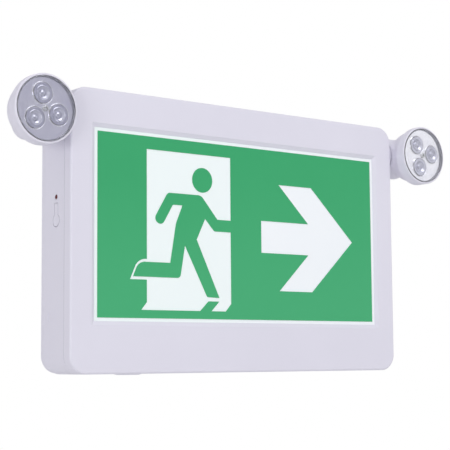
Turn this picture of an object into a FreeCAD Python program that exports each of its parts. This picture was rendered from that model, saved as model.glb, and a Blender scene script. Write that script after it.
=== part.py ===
import FreeCAD, Part
import math
import os
import Sketcher
from FreeCAD import Placement, Rotation, Vector

# Wall-fixed emergency exit light: a shallow plastic box with a lit pictogram window and
# a swivelling lamp head on each side.  The origin is the centre of the flat back face,
# the front looks along -Y, +X is to the right of a person facing the sign, +Z is up.

doc = FreeCAD.newDocument("exit_light")
dims = doc.addObject("Spreadsheet::Sheet", "dims")

SIZES = (
    # box
    ("body_width", 308, "over the side walls"),
    ("body_height", 200, "over the top and bottom walls"),
    ("housing_depth", 32, "back face to the seam with the cover"),
    ("cover_depth", 8.8, "seam to the front face"),
    ("corner_radius", 13, "box corners seen from the front"),
    ("wall", 2.4, "side walls of housing and cover"),
    ("back_wall", 2.4, "back of the housing"),
    ("face_wall", 2.0, "front of the cover"),
    ("edge_round", 1.6, "front outer edge of the cover"),
    ("seam_break", 0.35, "chamfer either side of the seam"),
    ("back_bevel_side", 0.8, "sideways size of the bevel round the back"),
    ("back_bevel_depth", 6.0, "front-to-back size of that bevel"),
    # snap tabs and ribs of the cover
    ("tab_length", 5, "cover's tabs into the housing"),
    ("tab_thickness", 1.6, "cover's tabs"),
    ("tab_width", 20, "cover's tabs"),
    ("tab_spacing", 90, "cover's tabs along the top and bottom"),
    ("tab_play", 0.2, "cover's tabs inside the housing walls"),
    ("recess_front", 24, "snap recess in the left side, from the wall"),
    ("recess_back", 11, "snap recess in the left side, from the wall"),
    ("recess_high", -57.5, "snap recess, upper edge from the box centre"),
    ("recess_low", -63.5, "snap recess, lower edge from the box centre"),
    ("recess_depth", 0.3, "snap recess"),
    ("bite", 0.1, "overlap of features that join"),
    ("past", 1.0, "cutting shapes run past a face by this"),
    # window and sign
    ("window_side", 20, "window's clear opening to the side of the box"),
    ("window_top", 27.3, "window's clear opening to the top of the box"),
    ("window_bottom", 36.7, "window's clear opening to the bottom of the box"),
    ("bevel_width", 2.9, "window bevel, across"),
    ("bevel_depth", 1.7, "window bevel, front to back"),
    ("sign_side", 2.75, "coloured film to the side of the window"),
    ("sign_end", 2.5, "coloured film to the top and bottom of the window"),
    ("film_thickness", 0.3, "coloured film"),
    ("panel_thickness", 2.0, "white diffuser"),
    ("panel_lap", 3.5, "diffuser behind the window edge, each side"),
    ("panel_play", 0.3, "diffuser inside the cover's rib"),
    ("tray_depth", 11, "white light box behind the diffuser"),
    ("tray_wall", 1.5, "light box walls"),
    ("strip_width", 7, "LED strip board, front to back"),
    ("strip_thickness", 1.2, "LED strip board"),
    ("strip_end", 12.5, "LED strip board to the side of the light box"),
    ("chip_size", 3.4, "sign LED, square"),
    ("chip_height", 1.2, "sign LED"),
    ("chip_pitch", 25, "spacing of the sign LEDs"),
    # lamp heads
    ("head_reach", 26.5, "lamp axis outside the side wall"),
    ("head_drop", 21.6, "lamp axis and swivel axis below the top of the box"),
    ("lens_front", 54, "lens face from the wall"),
    ("rim_depth", 8.3, "lens face to the turning seam, on the lamp axis"),
    ("rim_radius", 24, "lamp cup"),
    ("cup_wall", 1.4, "lamp cup"),
    ("cup_web", 1.2, "sloping floor of the cup and roof of the bowl"),
    ("cup_edge", 0.7, "cup edge behind the lens face"),
    ("seam_tilt", 6, "slope of the turning seam, degrees"),
    ("turn_gap", 0.3, "clearance across the turning seam"),
    ("bowl_radius", 22, "bowl behind the cup"),
    ("bowl_length", 25, "front-to-back half axis of the bowl"),
    ("bowl_wall", 1.8, "bowl and barrel"),
    ("post_radius", 12, "cup's hollow post in the bowl"),
    ("post_length", 3.6, "cup's hollow post"),
    ("post_bore", 6, "way for the lamp leads"),
    ("clip_radius", 15, "retaining ring on the post"),
    ("clip_thickness", 1.2, "retaining ring"),
    ("swivel_depth", 21, "swivel axis from the wall"),
    ("barrel_radius", 16.8, "horizontal barrel of the neck"),
    ("barrel_heel", 3.5, "barrel past the lamp axis"),
    ("heel_round", 7, "outer end of the barrel"),
    ("neck_blend", 5, "blend between barrel and bowl"),
    ("cup_round", 0.7, "front edge of the cup"),
    ("collar_length", 4, "fixed collar outside the side wall"),
    ("collar_shank", 9.8, "collar's shank in the side wall"),
    ("collar_play", 0.1, "collar's shank in its hole"),
    ("collar_round", 0.5, "collar's outer edge"),
    ("seat_length", 1.2, "round seat for the washer, inside the wall"),
    ("swivel_gap", 0.6, "slit between collar and barrel"),
    ("pivot_radius", 8, "neck's pivot tube"),
    ("pivot_bore", 5, "way for the lamp leads"),
    ("pivot_play", 0.1, "radial clearance of the pivot tube"),
    ("washer_thickness", 0.8, "spring washer"),
    ("nut_radius", 11, "pivot nut"),
    ("nut_thickness", 4, "pivot nut"),
    ("face_play", 0.3, "clearance between turning faces"),
    # lamp optics
    ("lens_radius", 22.4, "clear lens"),
    ("lens_thickness", 1.2, "clear lens"),
    ("skirt_wall", 0.9, "lens skirt"),
    ("board_radius", 15, "round LED board"),
    ("board_seat", 3.0, "LED board in front of the seam centre"),
    ("board_thickness", 0.8, "round LED board"),
    ("lamp_chip", 3.0, "lamp LED, square"),
    ("lamp_chip_height", 0.9, "lamp LED"),
    ("optic_ring", 10.6, "optics from the lamp axis"),
    ("optic_radius", 7.2, "collimator lens, front"),
    ("optic_root", 3.4, "collimator lens, back"),
    ("optic_front", 6.4, "collimator face in front of the seam centre"),
    ("optic_dimple", 4.7, "radius of the dimple in the collimator"),
    ("dimple_depth", 0.8, "dimple in the collimator"),
    ("optic_play", 0.2, "collimator in its reflector hole"),
    ("reflector_seat", 4.9, "reflector plate in front of the seam centre"),
    ("reflector_thickness", 0.8, "reflector plate"),
    ("reflector_radius", 22.3, "reflector plate"),
    ("screw_radius", 1.1, "centre screw shank"),
    ("screw_head", 2.1, "centre screw head"),
    ("screw_head_height", 1.0, "centre screw head"),
    ("screw_tip", 0.4, "centre screw's tip in front of the seam centre"),
    ("screw_boss", 2.7, "boss round the centre screw"),
    ("screw_play", 0.2, "centre screw in the boards it passes"),
    ("bridge_depth", 1.8, "bar across the cup's post that carries the boss"),
    ("lens_step", 0.2, "lens skirt inside the lens edge"),
    ("lens_round", 0.6, "bevel of the lens's front edge"),
    # test button and indicator on the left side
    ("panel_depth", 21.2, "button and indicator from the wall"),
    ("button_hinge", 19.2, "button's hinge line above the box centre"),
    ("button_level", 6.9, "pad centre above the box centre"),
    ("tongue_width", 4.3, "button's tongue"),
    ("pad_radius", 4.2, "button's round pad"),
    ("button_slit", 0.45, "slit round the button"),
    ("plunger_radius", 1.4, "switch plunger"),
    ("plunger_length", 3.4, "switch plunger"),
    ("switch_size", 6, "tact switch, square"),
    ("switch_height", 3.6, "tact switch"),
    ("switch_bore", 2.0, "switch hole round the plunger"),
    ("switch_floor", 0.6, "switch behind its hole"),
    ("side_board_width", 20, "small board"),
    ("side_board_length", 28, "small board"),
    ("side_board_drop", 8, "small board's lower end below the pad centre"),
    ("side_board_gap", 5.6, "side wall's inner face to the small board"),
    ("side_board_thickness", 1.6, "small board"),
    ("indicator_level", 23.4, "indicator above the box centre"),
    ("indicator_radius", 1.7, "indicator lens"),
    ("indicator_proud", 0.6, "indicator outside the wall"),
    ("indicator_play", 0.1, "indicator in its hole"),
    # inside
    ("stand_off", 5, "main board in front of the back wall"),
    ("board_side", 3.6, "main board to the inner face of the side wall"),
    ("board_width", 96, "main board"),
    ("board_height", 84, "main board"),
    ("board_sheet", 1.6, "main board"),
    ("boss_radius", 3.2, "screw bosses"),
    ("board_rim", 2, "boss to the board's edge"),
    ("board_left_rim", 6, "boss to the board's left edge"),
    ("fixing_radius", 1.5, "inside screws"),
    ("fixing_head", 2.9, "inside screw heads"),
    ("fixing_head_height", 1.8, "inside screw heads"),
    ("fixing_play", 0.2, "inside screws in the pieces they hold"),
    ("tray_screw", 8, "light box screws"),
    ("tray_post", 3.8, "light box posts' radius"),
    ("tray_post_side", 11.5, "light box posts to the side of the light box"),
    ("tray_post_end", 10.5, "light box posts to its top and bottom"),
    ("core_width", 32, "transformer core"),
    ("core_height", 27, "transformer core"),
    ("core_depth", 12, "transformer core"),
    ("bobbin_width", 20, "transformer winding"),
    ("bobbin_height", 37, "transformer winding"),
    ("bobbin_depth", 14.4, "transformer winding"),
    ("core_lift", 1.2, "transformer core above the board"),
    ("core_shift", 18, "transformer right of the board's middle"),
    ("core_rise", 4, "transformer above the board's middle"),
    ("block_width", 15, "terminal block"),
    ("block_height", 9, "terminal block"),
    ("block_depth", 11, "terminal block"),
    ("block_right", 2, "terminal block to the board's right edge"),
    ("block_rise", 10, "terminal block above the board's lower edge"),
    ("block_pitch", 5, "spacing of the wire ways"),
    ("block_way", 1.4, "radius of the wire ways"),
    ("block_way_length", 6, "wire ways"),
    ("can_radius", 4, "capacitor"),
    ("can_height", 12, "capacitor"),
    ("can_left", 30, "capacitors from the board's left edge"),
    ("can_level", -22, "capacitors below the box centre"),
    ("can_pitch", 12, "spacing of the capacitors"),
    ("cell_radius", 8.5, "battery cell"),
    ("cell_length", 50, "battery cell"),
    ("pack_left", 40, "battery pack's left end from the centre"),
    ("pack_level", -6, "battery pack's centre height"),
    ("clip_band", 14, "battery clip"),
    ("clip_sheet", 1.2, "battery clip"),
    ("clip_play", 0.3, "battery clip round the pack"),
    ("clip_foot", 10, "battery clip's feet"),
    ("pack_rib", 27.2, "ribs at the pack's ends, half their length"),
    ("sleeve_start", 0.4, "pack's sleeve, from its back, in cell radii"),
    # openings in the housing
    ("entry_radius", 11.1, "cable entry in the back"),
    ("fix_spacing", 88.9, "screw holes either side of the cable entry"),
    ("fix_radius", 2.2, "those screw holes"),
    ("key_spacing", 203.2, "keyholes, centre to centre"),
    ("key_level", 60, "keyholes above the centre"),
    ("key_head", 4.5, "keyhole, round part"),
    ("key_slot", 2.3, "keyhole, slot half width"),
    ("key_drop", 8, "keyhole, round part to slot end"),
    ("plug_offset", 92.5, "plug left of the centre"),
    ("plug_depth", 18, "plug from the wall"),
    ("plug_cap", 10, "plug cap radius"),
    ("plug_proud", 1.0, "plug cap below the box"),
    ("plug_radius", 8, "plug shank"),
    ("plug_play", 0.2, "plug shank in its hole"),
    ("plug_edge", 0.3, "thickness of the plug cap's edge"),
    ("plug_barb", 0.5, "plug barb past the shank"),
    ("plug_length", 3, "plug shank inside the wall"),
    ("plug_wall", 0.8, "wall of the hollow shank"),
    ("plug_floor", 0.6, "plug cap inside the shank"),
)

for row, (alias, number, note) in enumerate(SIZES, start=1):
    dims.set("A%d" % row, alias)
    dims.set("B%d" % row, str(number))
    dims.set("C%d" % row, note)
    dims.setAlias("B%d" % row, alias)
doc.recompute()

# Depths that several pieces share, as expressions in the sheet's values.
BODY_DEPTH = "(dims.housing_depth + dims.cover_depth)"
SIGN_BACK = "(%s - dims.face_wall)" % BODY_DEPTH
TRAY_FRONT = "(%s - dims.panel_thickness)" % SIGN_BACK
TRAY_BACK = "(%s - dims.tray_depth)" % TRAY_FRONT
HALF_WIDTH = "(dims.body_width / 2)"
HALF_HEIGHT = "(dims.body_height / 2)"
INNER_WIDTH = "(dims.body_width / 2 - dims.wall)"
INNER_HEIGHT = "(dims.body_height / 2 - dims.wall)"
HALF_WINDOW = "(dims.body_width / 2 - dims.window_side)"
WINDOW_HIGH = "(dims.body_height / 2 - dims.window_top)"
WINDOW_LOW = "(dims.window_bottom - dims.body_height / 2)"
WINDOW_LEVEL = "((dims.window_bottom - dims.window_top) / 2)"
PANEL_WIDTH = "(2 * (%s + dims.panel_lap))" % HALF_WINDOW
PANEL_HEIGHT = "(%s - %s + 2 * dims.panel_lap)" % (WINDOW_HIGH, WINDOW_LOW)
SIGN_WIDTH = "(2 * (%s - dims.sign_side))" % HALF_WINDOW
SIGN_HEIGHT = "(%s - %s - 2 * dims.sign_end)" % (WINDOW_HIGH, WINDOW_LOW)
STRIP_LENGTH = "(%s - 2 * dims.strip_end)" % PANEL_WIDTH
TRAY_POST_X = "(%s / 2 - dims.tray_post_side)" % PANEL_WIDTH
TRAY_POST_Z = "(%s / 2 - dims.tray_post_end)" % PANEL_HEIGHT
HEAD_OFFSET = "(%s + dims.head_reach)" % HALF_WIDTH
HEAD_LEVEL = "(%s - dims.head_drop)" % HALF_HEIGHT
BOARD_LEFT = "(%s - dims.board_side)" % INNER_WIDTH
SEAM_CENTRE = "(dims.lens_front - dims.rim_depth)"
BOARD_FACE = "(dims.back_wall + dims.stand_off + dims.board_sheet)"
SIDE_BOARD = "(%s - dims.side_board_gap)" % INNER_WIDTH


def number(text):
    """Value of an expression as a plain number."""
    return float(dims.evalExpression(text))


def bind(item, **texts):
    """Bind properties to expressions; a double underscore stands for a dot."""
    for name, text in texts.items():
        item.setExpression(name.replace("__", "."), text)
    return item


def label(item, name):
    item.Label = name
    return item


def hide(*items):
    for item in items:
        item.Visibility = False


def place(item, x="0", y="0", z="0", axis=None, angle="0"):
    """Bind an item's position, and its turn about one axis in degrees."""
    if axis is not None:
        item.Placement = Placement(Vector(), Rotation(axis, 1))
        item.setExpression("Placement.Rotation.Angle", "(%s) * 1deg" % angle)
    item.setExpression("Placement.Base.x", x)
    item.setExpression("Placement.Base.y", y)
    item.setExpression("Placement.Base.z", z)
    return item


# ---------------------------------------------------------------- sketch helpers

def new_body(name):
    body = doc.addObject("PartDesign::Body", name)
    return label(body, name)


def sketch(body, role, offset=None):
    """Sketch on one of the body's own origin planes, moved along its normal."""
    plane = next(f for f in body.Origin.OriginFeatures if f.Role == role)
    item = body.newObject("Sketcher::SketchObject", body.Name + "_sketch")
    item.AttachmentSupport = [(plane, "")]
    item.MapMode = "FlatFace"
    if offset is not None:
        item.setExpression("AttachmentOffset.Base.z", offset)
    return item


def pin_point(item, edge, end, x, y):
    """Hold one end of an edge at bound distances from the sketch origin."""
    for kind, text in (("DistanceX", x), ("DistanceY", y)):
        rule = Sketcher.Constraint(kind, -1, 1, edge, end, number(text))
        index = item.addConstraint(rule)
        item.setExpression("Constraints[%d]" % index, text)


def outline(item, points):
    """Closed outline of straight lines through points given as expression pairs."""
    flat = [Vector(number(x), number(y), 0) for x, y in points]
    first = len(item.Geometry)
    count = len(flat)
    for i in range(count):
        item.addGeometry(Part.LineSegment(flat[i], flat[(i + 1) % count]), False)
    for i in range(count):
        joint = Sketcher.Constraint("Coincident", first + i, 2, first + (i + 1) % count, 1)
        item.addConstraint(joint)
    for i, (x, y) in enumerate(points):
        pin_point(item, first + i, 1, x, y)
    return item


def rectangle(item, left, right, low, high):
    return outline(item, [(left, low), (right, low), (right, high), (left, high)])


def rounded_rectangle(item, half_x, half_y, radius):
    """Rectangle about the sketch origin with four tangent corner arcs."""
    wide, tall, bend = number(half_x), number(half_y), number(radius)
    turns = ((1, 1), (-1, 1), (-1, -1), (1, -1))
    for i, (sx, sy) in enumerate(turns):
        middle = Vector(sx * (wide - bend), sy * (tall - bend), 0)
        start = i * math.pi / 2
        ring = Part.Circle(middle, Vector(0, 0, 1), bend)
        item.addGeometry(Part.ArcOfCircle(ring, start, start + math.pi / 2), False)
    for i in range(4):
        begin = item.Geometry[i].EndPoint
        end = item.Geometry[(i + 1) % 4].StartPoint
        item.addGeometry(Part.LineSegment(begin, end), False)
    for i, (sx, sy) in enumerate(turns):
        item.addConstraint(Sketcher.Constraint("Tangent", i, 2, 4 + i, 1))
        item.addConstraint(Sketcher.Constraint("Tangent", 4 + i, 2, (i + 1) % 4, 1))
        pin_point(item, i, 3, "%d * (%s - (%s))" % (sx, half_x, radius),
                  "%d * (%s - (%s))" % (sy, half_y, radius))
        rule = item.addConstraint(Sketcher.Constraint("Radius", i, bend))
        item.setExpression("Constraints[%d]" % rule, radius)
    return item


def circle(item, x, y, radius):
    index = item.addGeometry(
        Part.Circle(Vector(number(x), number(y), 0), Vector(0, 0, 1), number(radius)), False)
    pin_point(item, index, 3, x, y)
    rule = item.addConstraint(Sketcher.Constraint("Radius", index, number(radius)))
    item.setExpression("Constraints[%d]" % rule, radius)
    return item


def pad(body, profile, length, reverse=False, middle=False):
    item = body.newObject("PartDesign::Pad", body.Name + "_pad")
    item.Profile = profile
    item.Reversed = reverse
    item.Midplane = middle
    item.setExpression("Length", length)
    hide(profile)
    return item


def pocket(body, profile, length=None, reverse=False, middle=False):
    """Pocket of a bound length, or through everything where no length is given."""
    item = body.newObject("PartDesign::Pocket", body.Name + "_pocket")
    item.Profile = profile
    item.Reversed = reverse
    item.Midplane = middle
    if length is None:
        item.Type = "ThroughAll"
    else:
        item.setExpression("Length", length)
    hide(profile)
    return item


def revolve(body, profile):
    """Full turn about the sketch's vertical axis."""
    item = body.newObject("PartDesign::Revolution", body.Name + "_revolution")
    item.Profile = profile
    item.ReferenceAxis = (profile, ["V_Axis"])
    item.Angle = 360
    hide(profile)
    return item


def edge_names(feature, test):
    doc.recompute()
    edges = feature.Shape.Edges
    return ["Edge%d" % (i + 1) for i, edge in enumerate(edges) if test(edge)]


def fillet(body, feature, test, radius):
    names = edge_names(feature, test)
    item = body.newObject("PartDesign::Fillet", body.Name + "_fillet")
    item.Base = (feature, names)
    item.setExpression("Radius", radius)
    return item


def chamfer(body, feature, test, size):
    names = edge_names(feature, test)
    item = body.newObject("PartDesign::Chamfer", body.Name + "_chamfer")
    item.Base = (feature, names)
    item.setExpression("Size", size)
    return item


def runs_along(edge, axis):
    """True for a straight edge parallel to an axis."""
    if len(edge.Vertexes) != 2 or edge.Curve.TypeId != "Part::GeomLine":
        return False
    step = edge.Vertexes[1].Point - edge.Vertexes[0].Point
    return abs(abs(step.normalize().dot(axis)) - 1) < 1e-6


def lies_at(edge, axis, value):
    """True for an edge that lies wholly in the plane where axis = value."""
    return all(abs(v.Point.dot(axis) - value) < 1e-4 for v in edge.Vertexes) and \
        abs(edge.CenterOfMass.dot(axis) - value) < 1e-4


X_AXIS = Vector(1, 0, 0)
Y_AXIS = Vector(0, 1, 0)
Z_AXIS = Vector(0, 0, 1)


# ---------------------------------------------------------------- plain solids

def box(name, x, y, z, size_x, size_y, size_z):
    item = label(doc.addObject("Part::Box", name), name)
    bind(item, Length=size_x, Width=size_y, Height=size_z)
    return place(item, x, y, z)


def cylinder(name, radius, height, x="0", y="0", z="0", axis=None, angle="0"):
    item = label(doc.addObject("Part::Cylinder", name), name)
    bind(item, Radius=radius, Height=height)
    return place(item, x, y, z, axis, angle)


def cut(name, base, tool):
    item = label(doc.addObject("Part::Cut", name), name)
    item.Base = base
    item.Tool = tool
    hide(base, tool)
    return item


def fuse(name, items):
    item = label(doc.addObject("Part::MultiFuse", name), name)
    item.Shapes = items
    item.Refine = True
    hide(*items)
    return item


def group(name, items):
    """Several separate solids kept as one piece of the list."""
    item = label(doc.addObject("Part::Compound", name), name)
    item.Links = items
    hide(*items)
    return item


def round_edges(name, base, test, radius):
    """Rounded copy of a solid, on the edges that pass a test."""
    doc.recompute()
    size = number(radius)
    item = label(doc.addObject("Part::Fillet", name), name)
    item.Base = base
    item.Edges = [(index, size, size) for index, edge in enumerate(base.Shape.Edges, start=1)
                  if test(edge)]
    hide(base)
    return item


# ---------------------------------------------------------------- housing and cover

def box_outline(body, depth=None):
    """Outer outline of the box with its round corners, at a depth from the wall."""
    return rounded_rectangle(sketch(body, "XZ_Plane", depth), HALF_WIDTH, HALF_HEIGHT,
                             "dims.corner_radius")


def cavity_outline(body, depth):
    """Inner outline of the box's side walls, at a depth from the wall."""
    return rounded_rectangle(sketch(body, "XZ_Plane", depth), INNER_WIDTH, INNER_HEIGHT,
                             "dims.corner_radius - dims.wall")


def make_housing():
    body = new_body("back_housing")
    block = pad(body, box_outline(body), "dims.housing_depth")
    bevel = body.newObject("PartDesign::Chamfer", "back_bevel")
    bevel.Base = (block, edge_names(block, lambda edge: lies_at(edge, Y_AXIS, 0)))
    bevel.ChamferType = "Two distances"
    bind(bevel, Size="dims.back_bevel_side", Size2="dims.back_bevel_depth")
    doc.recompute()
    bevel.FlipDirection = bevel_is_turned(bevel)
    chamfer(body, bevel, lambda edge: lies_at(edge, Y_AXIS, -number("dims.housing_depth")),
            "dims.seam_break")
    pocket(body, cavity_outline(body, "dims.back_wall"), "dims.housing_depth", reverse=True)
    add_posts(body)
    add_collar_seats(body)
    cut_back_openings(body)
    cut_side_openings(body)
    return body


def bevel_is_turned(bevel):
    """True where the long side of the bevel lies in the back face instead of the sides."""
    back = [face for face in bevel.Shape.Faces if abs(face.CenterOfMass.y) < 1e-4]
    flat = max(back, key=lambda face: face.Area)
    expected = number("dims.body_width - 2 * dims.back_bevel_side")
    return abs(flat.BoundBox.XLength - expected) > 0.01


def tray_post_places():
    """Four places for the light box posts, as expression pairs."""
    return [("%d * %s" % (side, TRAY_POST_X), "%s + %d * %s" % (WINDOW_LEVEL, end, TRAY_POST_Z))
            for side in (-1, 1) for end in (-1, 1)]


def board_boss_places():
    """Four corners of the main board, as expression pairs."""
    left = "-%s + dims.board_left_rim + dims.boss_radius" % BOARD_LEFT
    right = "-%s + dims.board_width - dims.board_rim - dims.boss_radius" % BOARD_LEFT
    reach = "(dims.board_height / 2 - dims.board_rim - dims.boss_radius)"
    return [(x, "%s%s" % (sign, reach)) for x in (left, right) for sign in ("-", "")]


def clip_foot_places():
    """The two feet of the battery clip, above and below the pack."""
    middle = "dims.pack_left + dims.cell_length / 2"
    reach = "(4 * dims.cell_radius + dims.clip_play + dims.clip_sheet + dims.clip_foot / 2)"
    return [(middle, "dims.pack_level %s %s" % (sign, reach)) for sign in ("-", "+")]


def add_posts(body):
    posts = sketch(body, "XZ_Plane", "dims.back_wall")
    for x, z in tray_post_places():
        circle(posts, x, z, "dims.tray_post")
    pad(body, posts, "%s - dims.back_wall" % TRAY_BACK)
    bosses = sketch(body, "XZ_Plane", "dims.back_wall")
    for x, z in board_boss_places():
        circle(bosses, x, z, "dims.boss_radius")
    pad(body, bosses, "dims.stand_off")
    feet = sketch(body, "XZ_Plane", "dims.back_wall")
    for x, z in clip_foot_places():
        circle(feet, x, z, "dims.boss_radius")
    pad(body, feet, "dims.stand_off")
    ribs = sketch(body, "XZ_Plane", "dims.back_wall")
    for left in ("dims.pack_left - dims.clip_play - dims.tray_wall",
                 "dims.pack_left + dims.cell_length + dims.clip_play"):
        rectangle(ribs, left, "%s + dims.tray_wall" % left,
                  "dims.pack_level - dims.pack_rib", "dims.pack_level + dims.pack_rib")
    pad(body, ribs, "dims.cell_radius")
    holes = sketch(body, "XZ_Plane", "dims.back_wall")
    for x, z in tray_post_places() + board_boss_places() + clip_foot_places():
        circle(holes, x, z, "dims.fixing_radius")
    pocket(body, holes, "dims.housing_depth", reverse=True)


def add_collar_seats(body):
    """Round seats inside both side walls, bored for the shanks of the collars."""
    for sign in ("-", ""):
        seat = circle(sketch(body, "YZ_Plane", sign + INNER_WIDTH),
                      "-dims.swivel_depth", HEAD_LEVEL, "dims.nut_radius + dims.face_play")
        pad(body, seat, "dims.seat_length", reverse=sign == "")
    bore = circle(sketch(body, "YZ_Plane"),
                  "-dims.swivel_depth", HEAD_LEVEL, "dims.collar_shank + dims.collar_play")
    pocket(body, bore, middle=True)


def cut_back_openings(body):
    """Cable entry, two screw holes beside it and two keyholes, all through the back."""
    through = "2 * dims.back_wall"
    round_holes = sketch(body, "XZ_Plane")
    circle(round_holes, "0", "0", "dims.entry_radius")
    for sign in ("-", ""):
        circle(round_holes, sign + "dims.fix_spacing / 2", "0", "dims.fix_radius")
        circle(round_holes, sign + "dims.key_spacing / 2", "dims.key_level", "dims.key_head")
    pocket(body, round_holes, through, reverse=True)
    slots = sketch(body, "XZ_Plane")
    ends = sketch(body, "XZ_Plane")
    for sign in ("-", ""):
        middle = sign + "dims.key_spacing / 2"
        top = "dims.key_level + dims.key_drop"
        rectangle(slots, middle + " - dims.key_slot", middle + " + dims.key_slot",
                  "dims.key_level", top)
        circle(ends, middle, top, "dims.key_slot")
    pocket(body, slots, through, reverse=True)
    pocket(body, ends, through, reverse=True)


def cut_side_openings(body):
    """Button and indicator in the left wall, snap recess below them, plug hole below."""
    left_face = "-" + HALF_WIDTH
    through = "2 * dims.wall"
    tongue = rectangle(sketch(body, "YZ_Plane", left_face),
                       "-dims.panel_depth - dims.tongue_width / 2 - dims.button_slit",
                       "-dims.panel_depth + dims.tongue_width / 2 + dims.button_slit",
                       "dims.button_level", "dims.button_hinge")
    pocket(body, tongue, through, reverse=True)
    rounds = sketch(body, "YZ_Plane", left_face)
    circle(rounds, "-dims.panel_depth", "dims.button_level", "dims.pad_radius + dims.button_slit")
    circle(rounds, "-dims.panel_depth", "dims.indicator_level",
           "dims.indicator_radius + dims.indicator_play")
    pocket(body, rounds, through, reverse=True)
    recess = rectangle(sketch(body, "YZ_Plane", left_face), "-dims.recess_front",
                       "-dims.recess_back", "dims.recess_low", "dims.recess_high")
    pocket(body, recess, "dims.recess_depth", reverse=True)
    plug_hole = circle(sketch(body, "XY_Plane", "-dims.body_height / 2"),
                       "-dims.plug_offset", "-dims.plug_depth",
                       "dims.plug_radius + dims.plug_play")
    pocket(body, plug_hole, through, reverse=True)


def make_cover():
    body = new_body("front_cover")
    block = pad(body, box_outline(body, "dims.housing_depth"), "dims.cover_depth")
    front = -number(BODY_DEPTH)
    soft = fillet(body, block, lambda edge: lies_at(edge, Y_AXIS, front), "dims.edge_round")
    back = -number("dims.housing_depth")
    chamfer(body, soft, lambda edge: lies_at(edge, Y_AXIS, back), "dims.seam_break")
    pocket(body, cavity_outline(body, "dims.housing_depth"),
           "dims.cover_depth - dims.face_wall", reverse=True)
    opening = rectangle(sketch(body, "XZ_Plane", "dims.housing_depth"),
                        "-" + HALF_WINDOW, HALF_WINDOW, WINDOW_LOW, WINDOW_HIGH)
    pocket(body, opening, reverse=True)
    add_window_bevel(body)
    add_snap_tabs(body)
    return body


def add_window_bevel(body):
    """Sloping sides of the window, wider at the front face."""
    mouth = rectangle(sketch(body, "XZ_Plane", BODY_DEPTH),
                      "-%s - dims.bevel_width" % HALF_WINDOW,
                      "%s + dims.bevel_width" % HALF_WINDOW,
                      "%s - dims.bevel_width" % WINDOW_LOW,
                      "%s + dims.bevel_width" % WINDOW_HIGH)
    slope = pocket(body, mouth, "dims.bevel_depth")
    slope.setExpression("TaperAngle", "-atan(dims.bevel_width / dims.bevel_depth)")


def add_snap_tabs(body):
    """Tabs that reach into the housing behind the top and bottom walls, with ribs round
    the diffuser."""
    tabs = sketch(body, "XZ_Plane", "dims.housing_depth - dims.tab_length")
    outer = "(%s - dims.tab_play)" % INNER_HEIGHT
    inner = "(%s - dims.tab_thickness)" % outer
    for step in (-1, 0, 1):
        left = "%d * dims.tab_spacing - dims.tab_width / 2" % step
        right = "%d * dims.tab_spacing + dims.tab_width / 2" % step
        rectangle(tabs, left, right, inner, outer)
        rectangle(tabs, left, right, "-" + outer, "-" + inner)
    pad(body, tabs, "dims.tab_length + dims.cover_depth - dims.face_wall + dims.bite")
    rib = sketch(body, "XZ_Plane", TRAY_FRONT)
    for grow in ("dims.panel_play", "dims.panel_play + dims.tray_wall"):
        side = "(%s / 2 + %s)" % (PANEL_WIDTH, grow)
        end = "(%s / 2 + %s)" % (PANEL_HEIGHT, grow)
        rectangle(rib, "-" + side, side,
                  "%s - %s" % (WINDOW_LEVEL, end), "%s + %s" % (WINDOW_LEVEL, end))
    pad(body, rib, "dims.panel_thickness + dims.bite")


# ---------------------------------------------------------------- sign

# Outlines of the safe-condition pictogram, measured from the sign's centre for a sign
# 262.5 units wide and 131 high.  A third value rounds that corner.
DOOR = ((-89.8, 56.25), (-13.6, 56.25), (-13.6, -53.9), (-18.8, -59.65), (-32.2, -59.65),
        (-25.0, -52.45), (-34.9, -52.45), (-42.5, -59.65), (-94.6, -59.65), (-89.8, -54.0))
FOOT_SPACE = ((-86.0, -23.2), (-97.3, -23.2, 10.0), (-104.2, -38.1), (-86.0, -38.1))
RUNNER = ((-71.3, 25.8, 3.5), (-41.3, 25.8, 6.0), (-26.3, 8.6), (-10.0, 8.5), (-10.0, -0.3),
          (-29.1, -0.3, 2.5), (-37.6, 8.6), (-45.5, -7.2), (-24.8, -49.7), (-36.0, -49.3, 2.0),
          (-56.1, -11.9), (-60.5, -36.0, 3.0), (-101.5, -35.9), (-96.7, -25.3, 8.0),
          (-69.2, -25.3), (-64.0, 3.8, 4.0), (-58.2, 17.3), (-66.8, 17.3, 1.2),
          (-76.6, 1.2, 4.0), (-83.7, 5.6, 4.0))
ARROW = ((15.8, 10.3), (63.3, 10.3), (33.5, 39.2), (67.0, 39.2), (110.4, -2.0),
         (67.0, -43.2), (33.5, -43.2), (63.3, -14.3), (15.8, -14.3))
HEAD_CENTRE = (-40.05, 37.2)
HEAD_RADIUS = 9.2
UNITS_ACROSS = 262.5
UNITS_UP = 131
SIGN_UNIT = "(min(%s / %g; %s / %g))" % (SIGN_WIDTH, UNITS_ACROSS, SIGN_HEIGHT, UNITS_UP)
CORNER_NEAR = 0.01


def sign_shape(name, corners, start, depth):
    """Flat shape of the sign, as a body of bound depth with some corners rounded."""
    body = new_body(name)
    points = [("%g * %s" % (corner[0], SIGN_UNIT),
               "%s + %g * %s" % (WINDOW_LEVEL, corner[1], SIGN_UNIT)) for corner in corners]
    shape = pad(body, outline(sketch(body, "XZ_Plane", start), points), depth)
    for corner in corners:
        if len(corner) < 3:
            continue
        spot_x = number("%g * %s" % (corner[0], SIGN_UNIT))
        spot_z = number("%s + %g * %s" % (WINDOW_LEVEL, corner[1], SIGN_UNIT))

        def at_corner(edge):
            point = edge.CenterOfMass
            near = max(abs(point.x - spot_x), abs(point.z - spot_z)) < CORNER_NEAR
            return near and runs_along(edge, Y_AXIS)

        shape = fillet(body, shape, at_corner, "%g * %s" % (corner[2], SIGN_UNIT))
    return body


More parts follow.
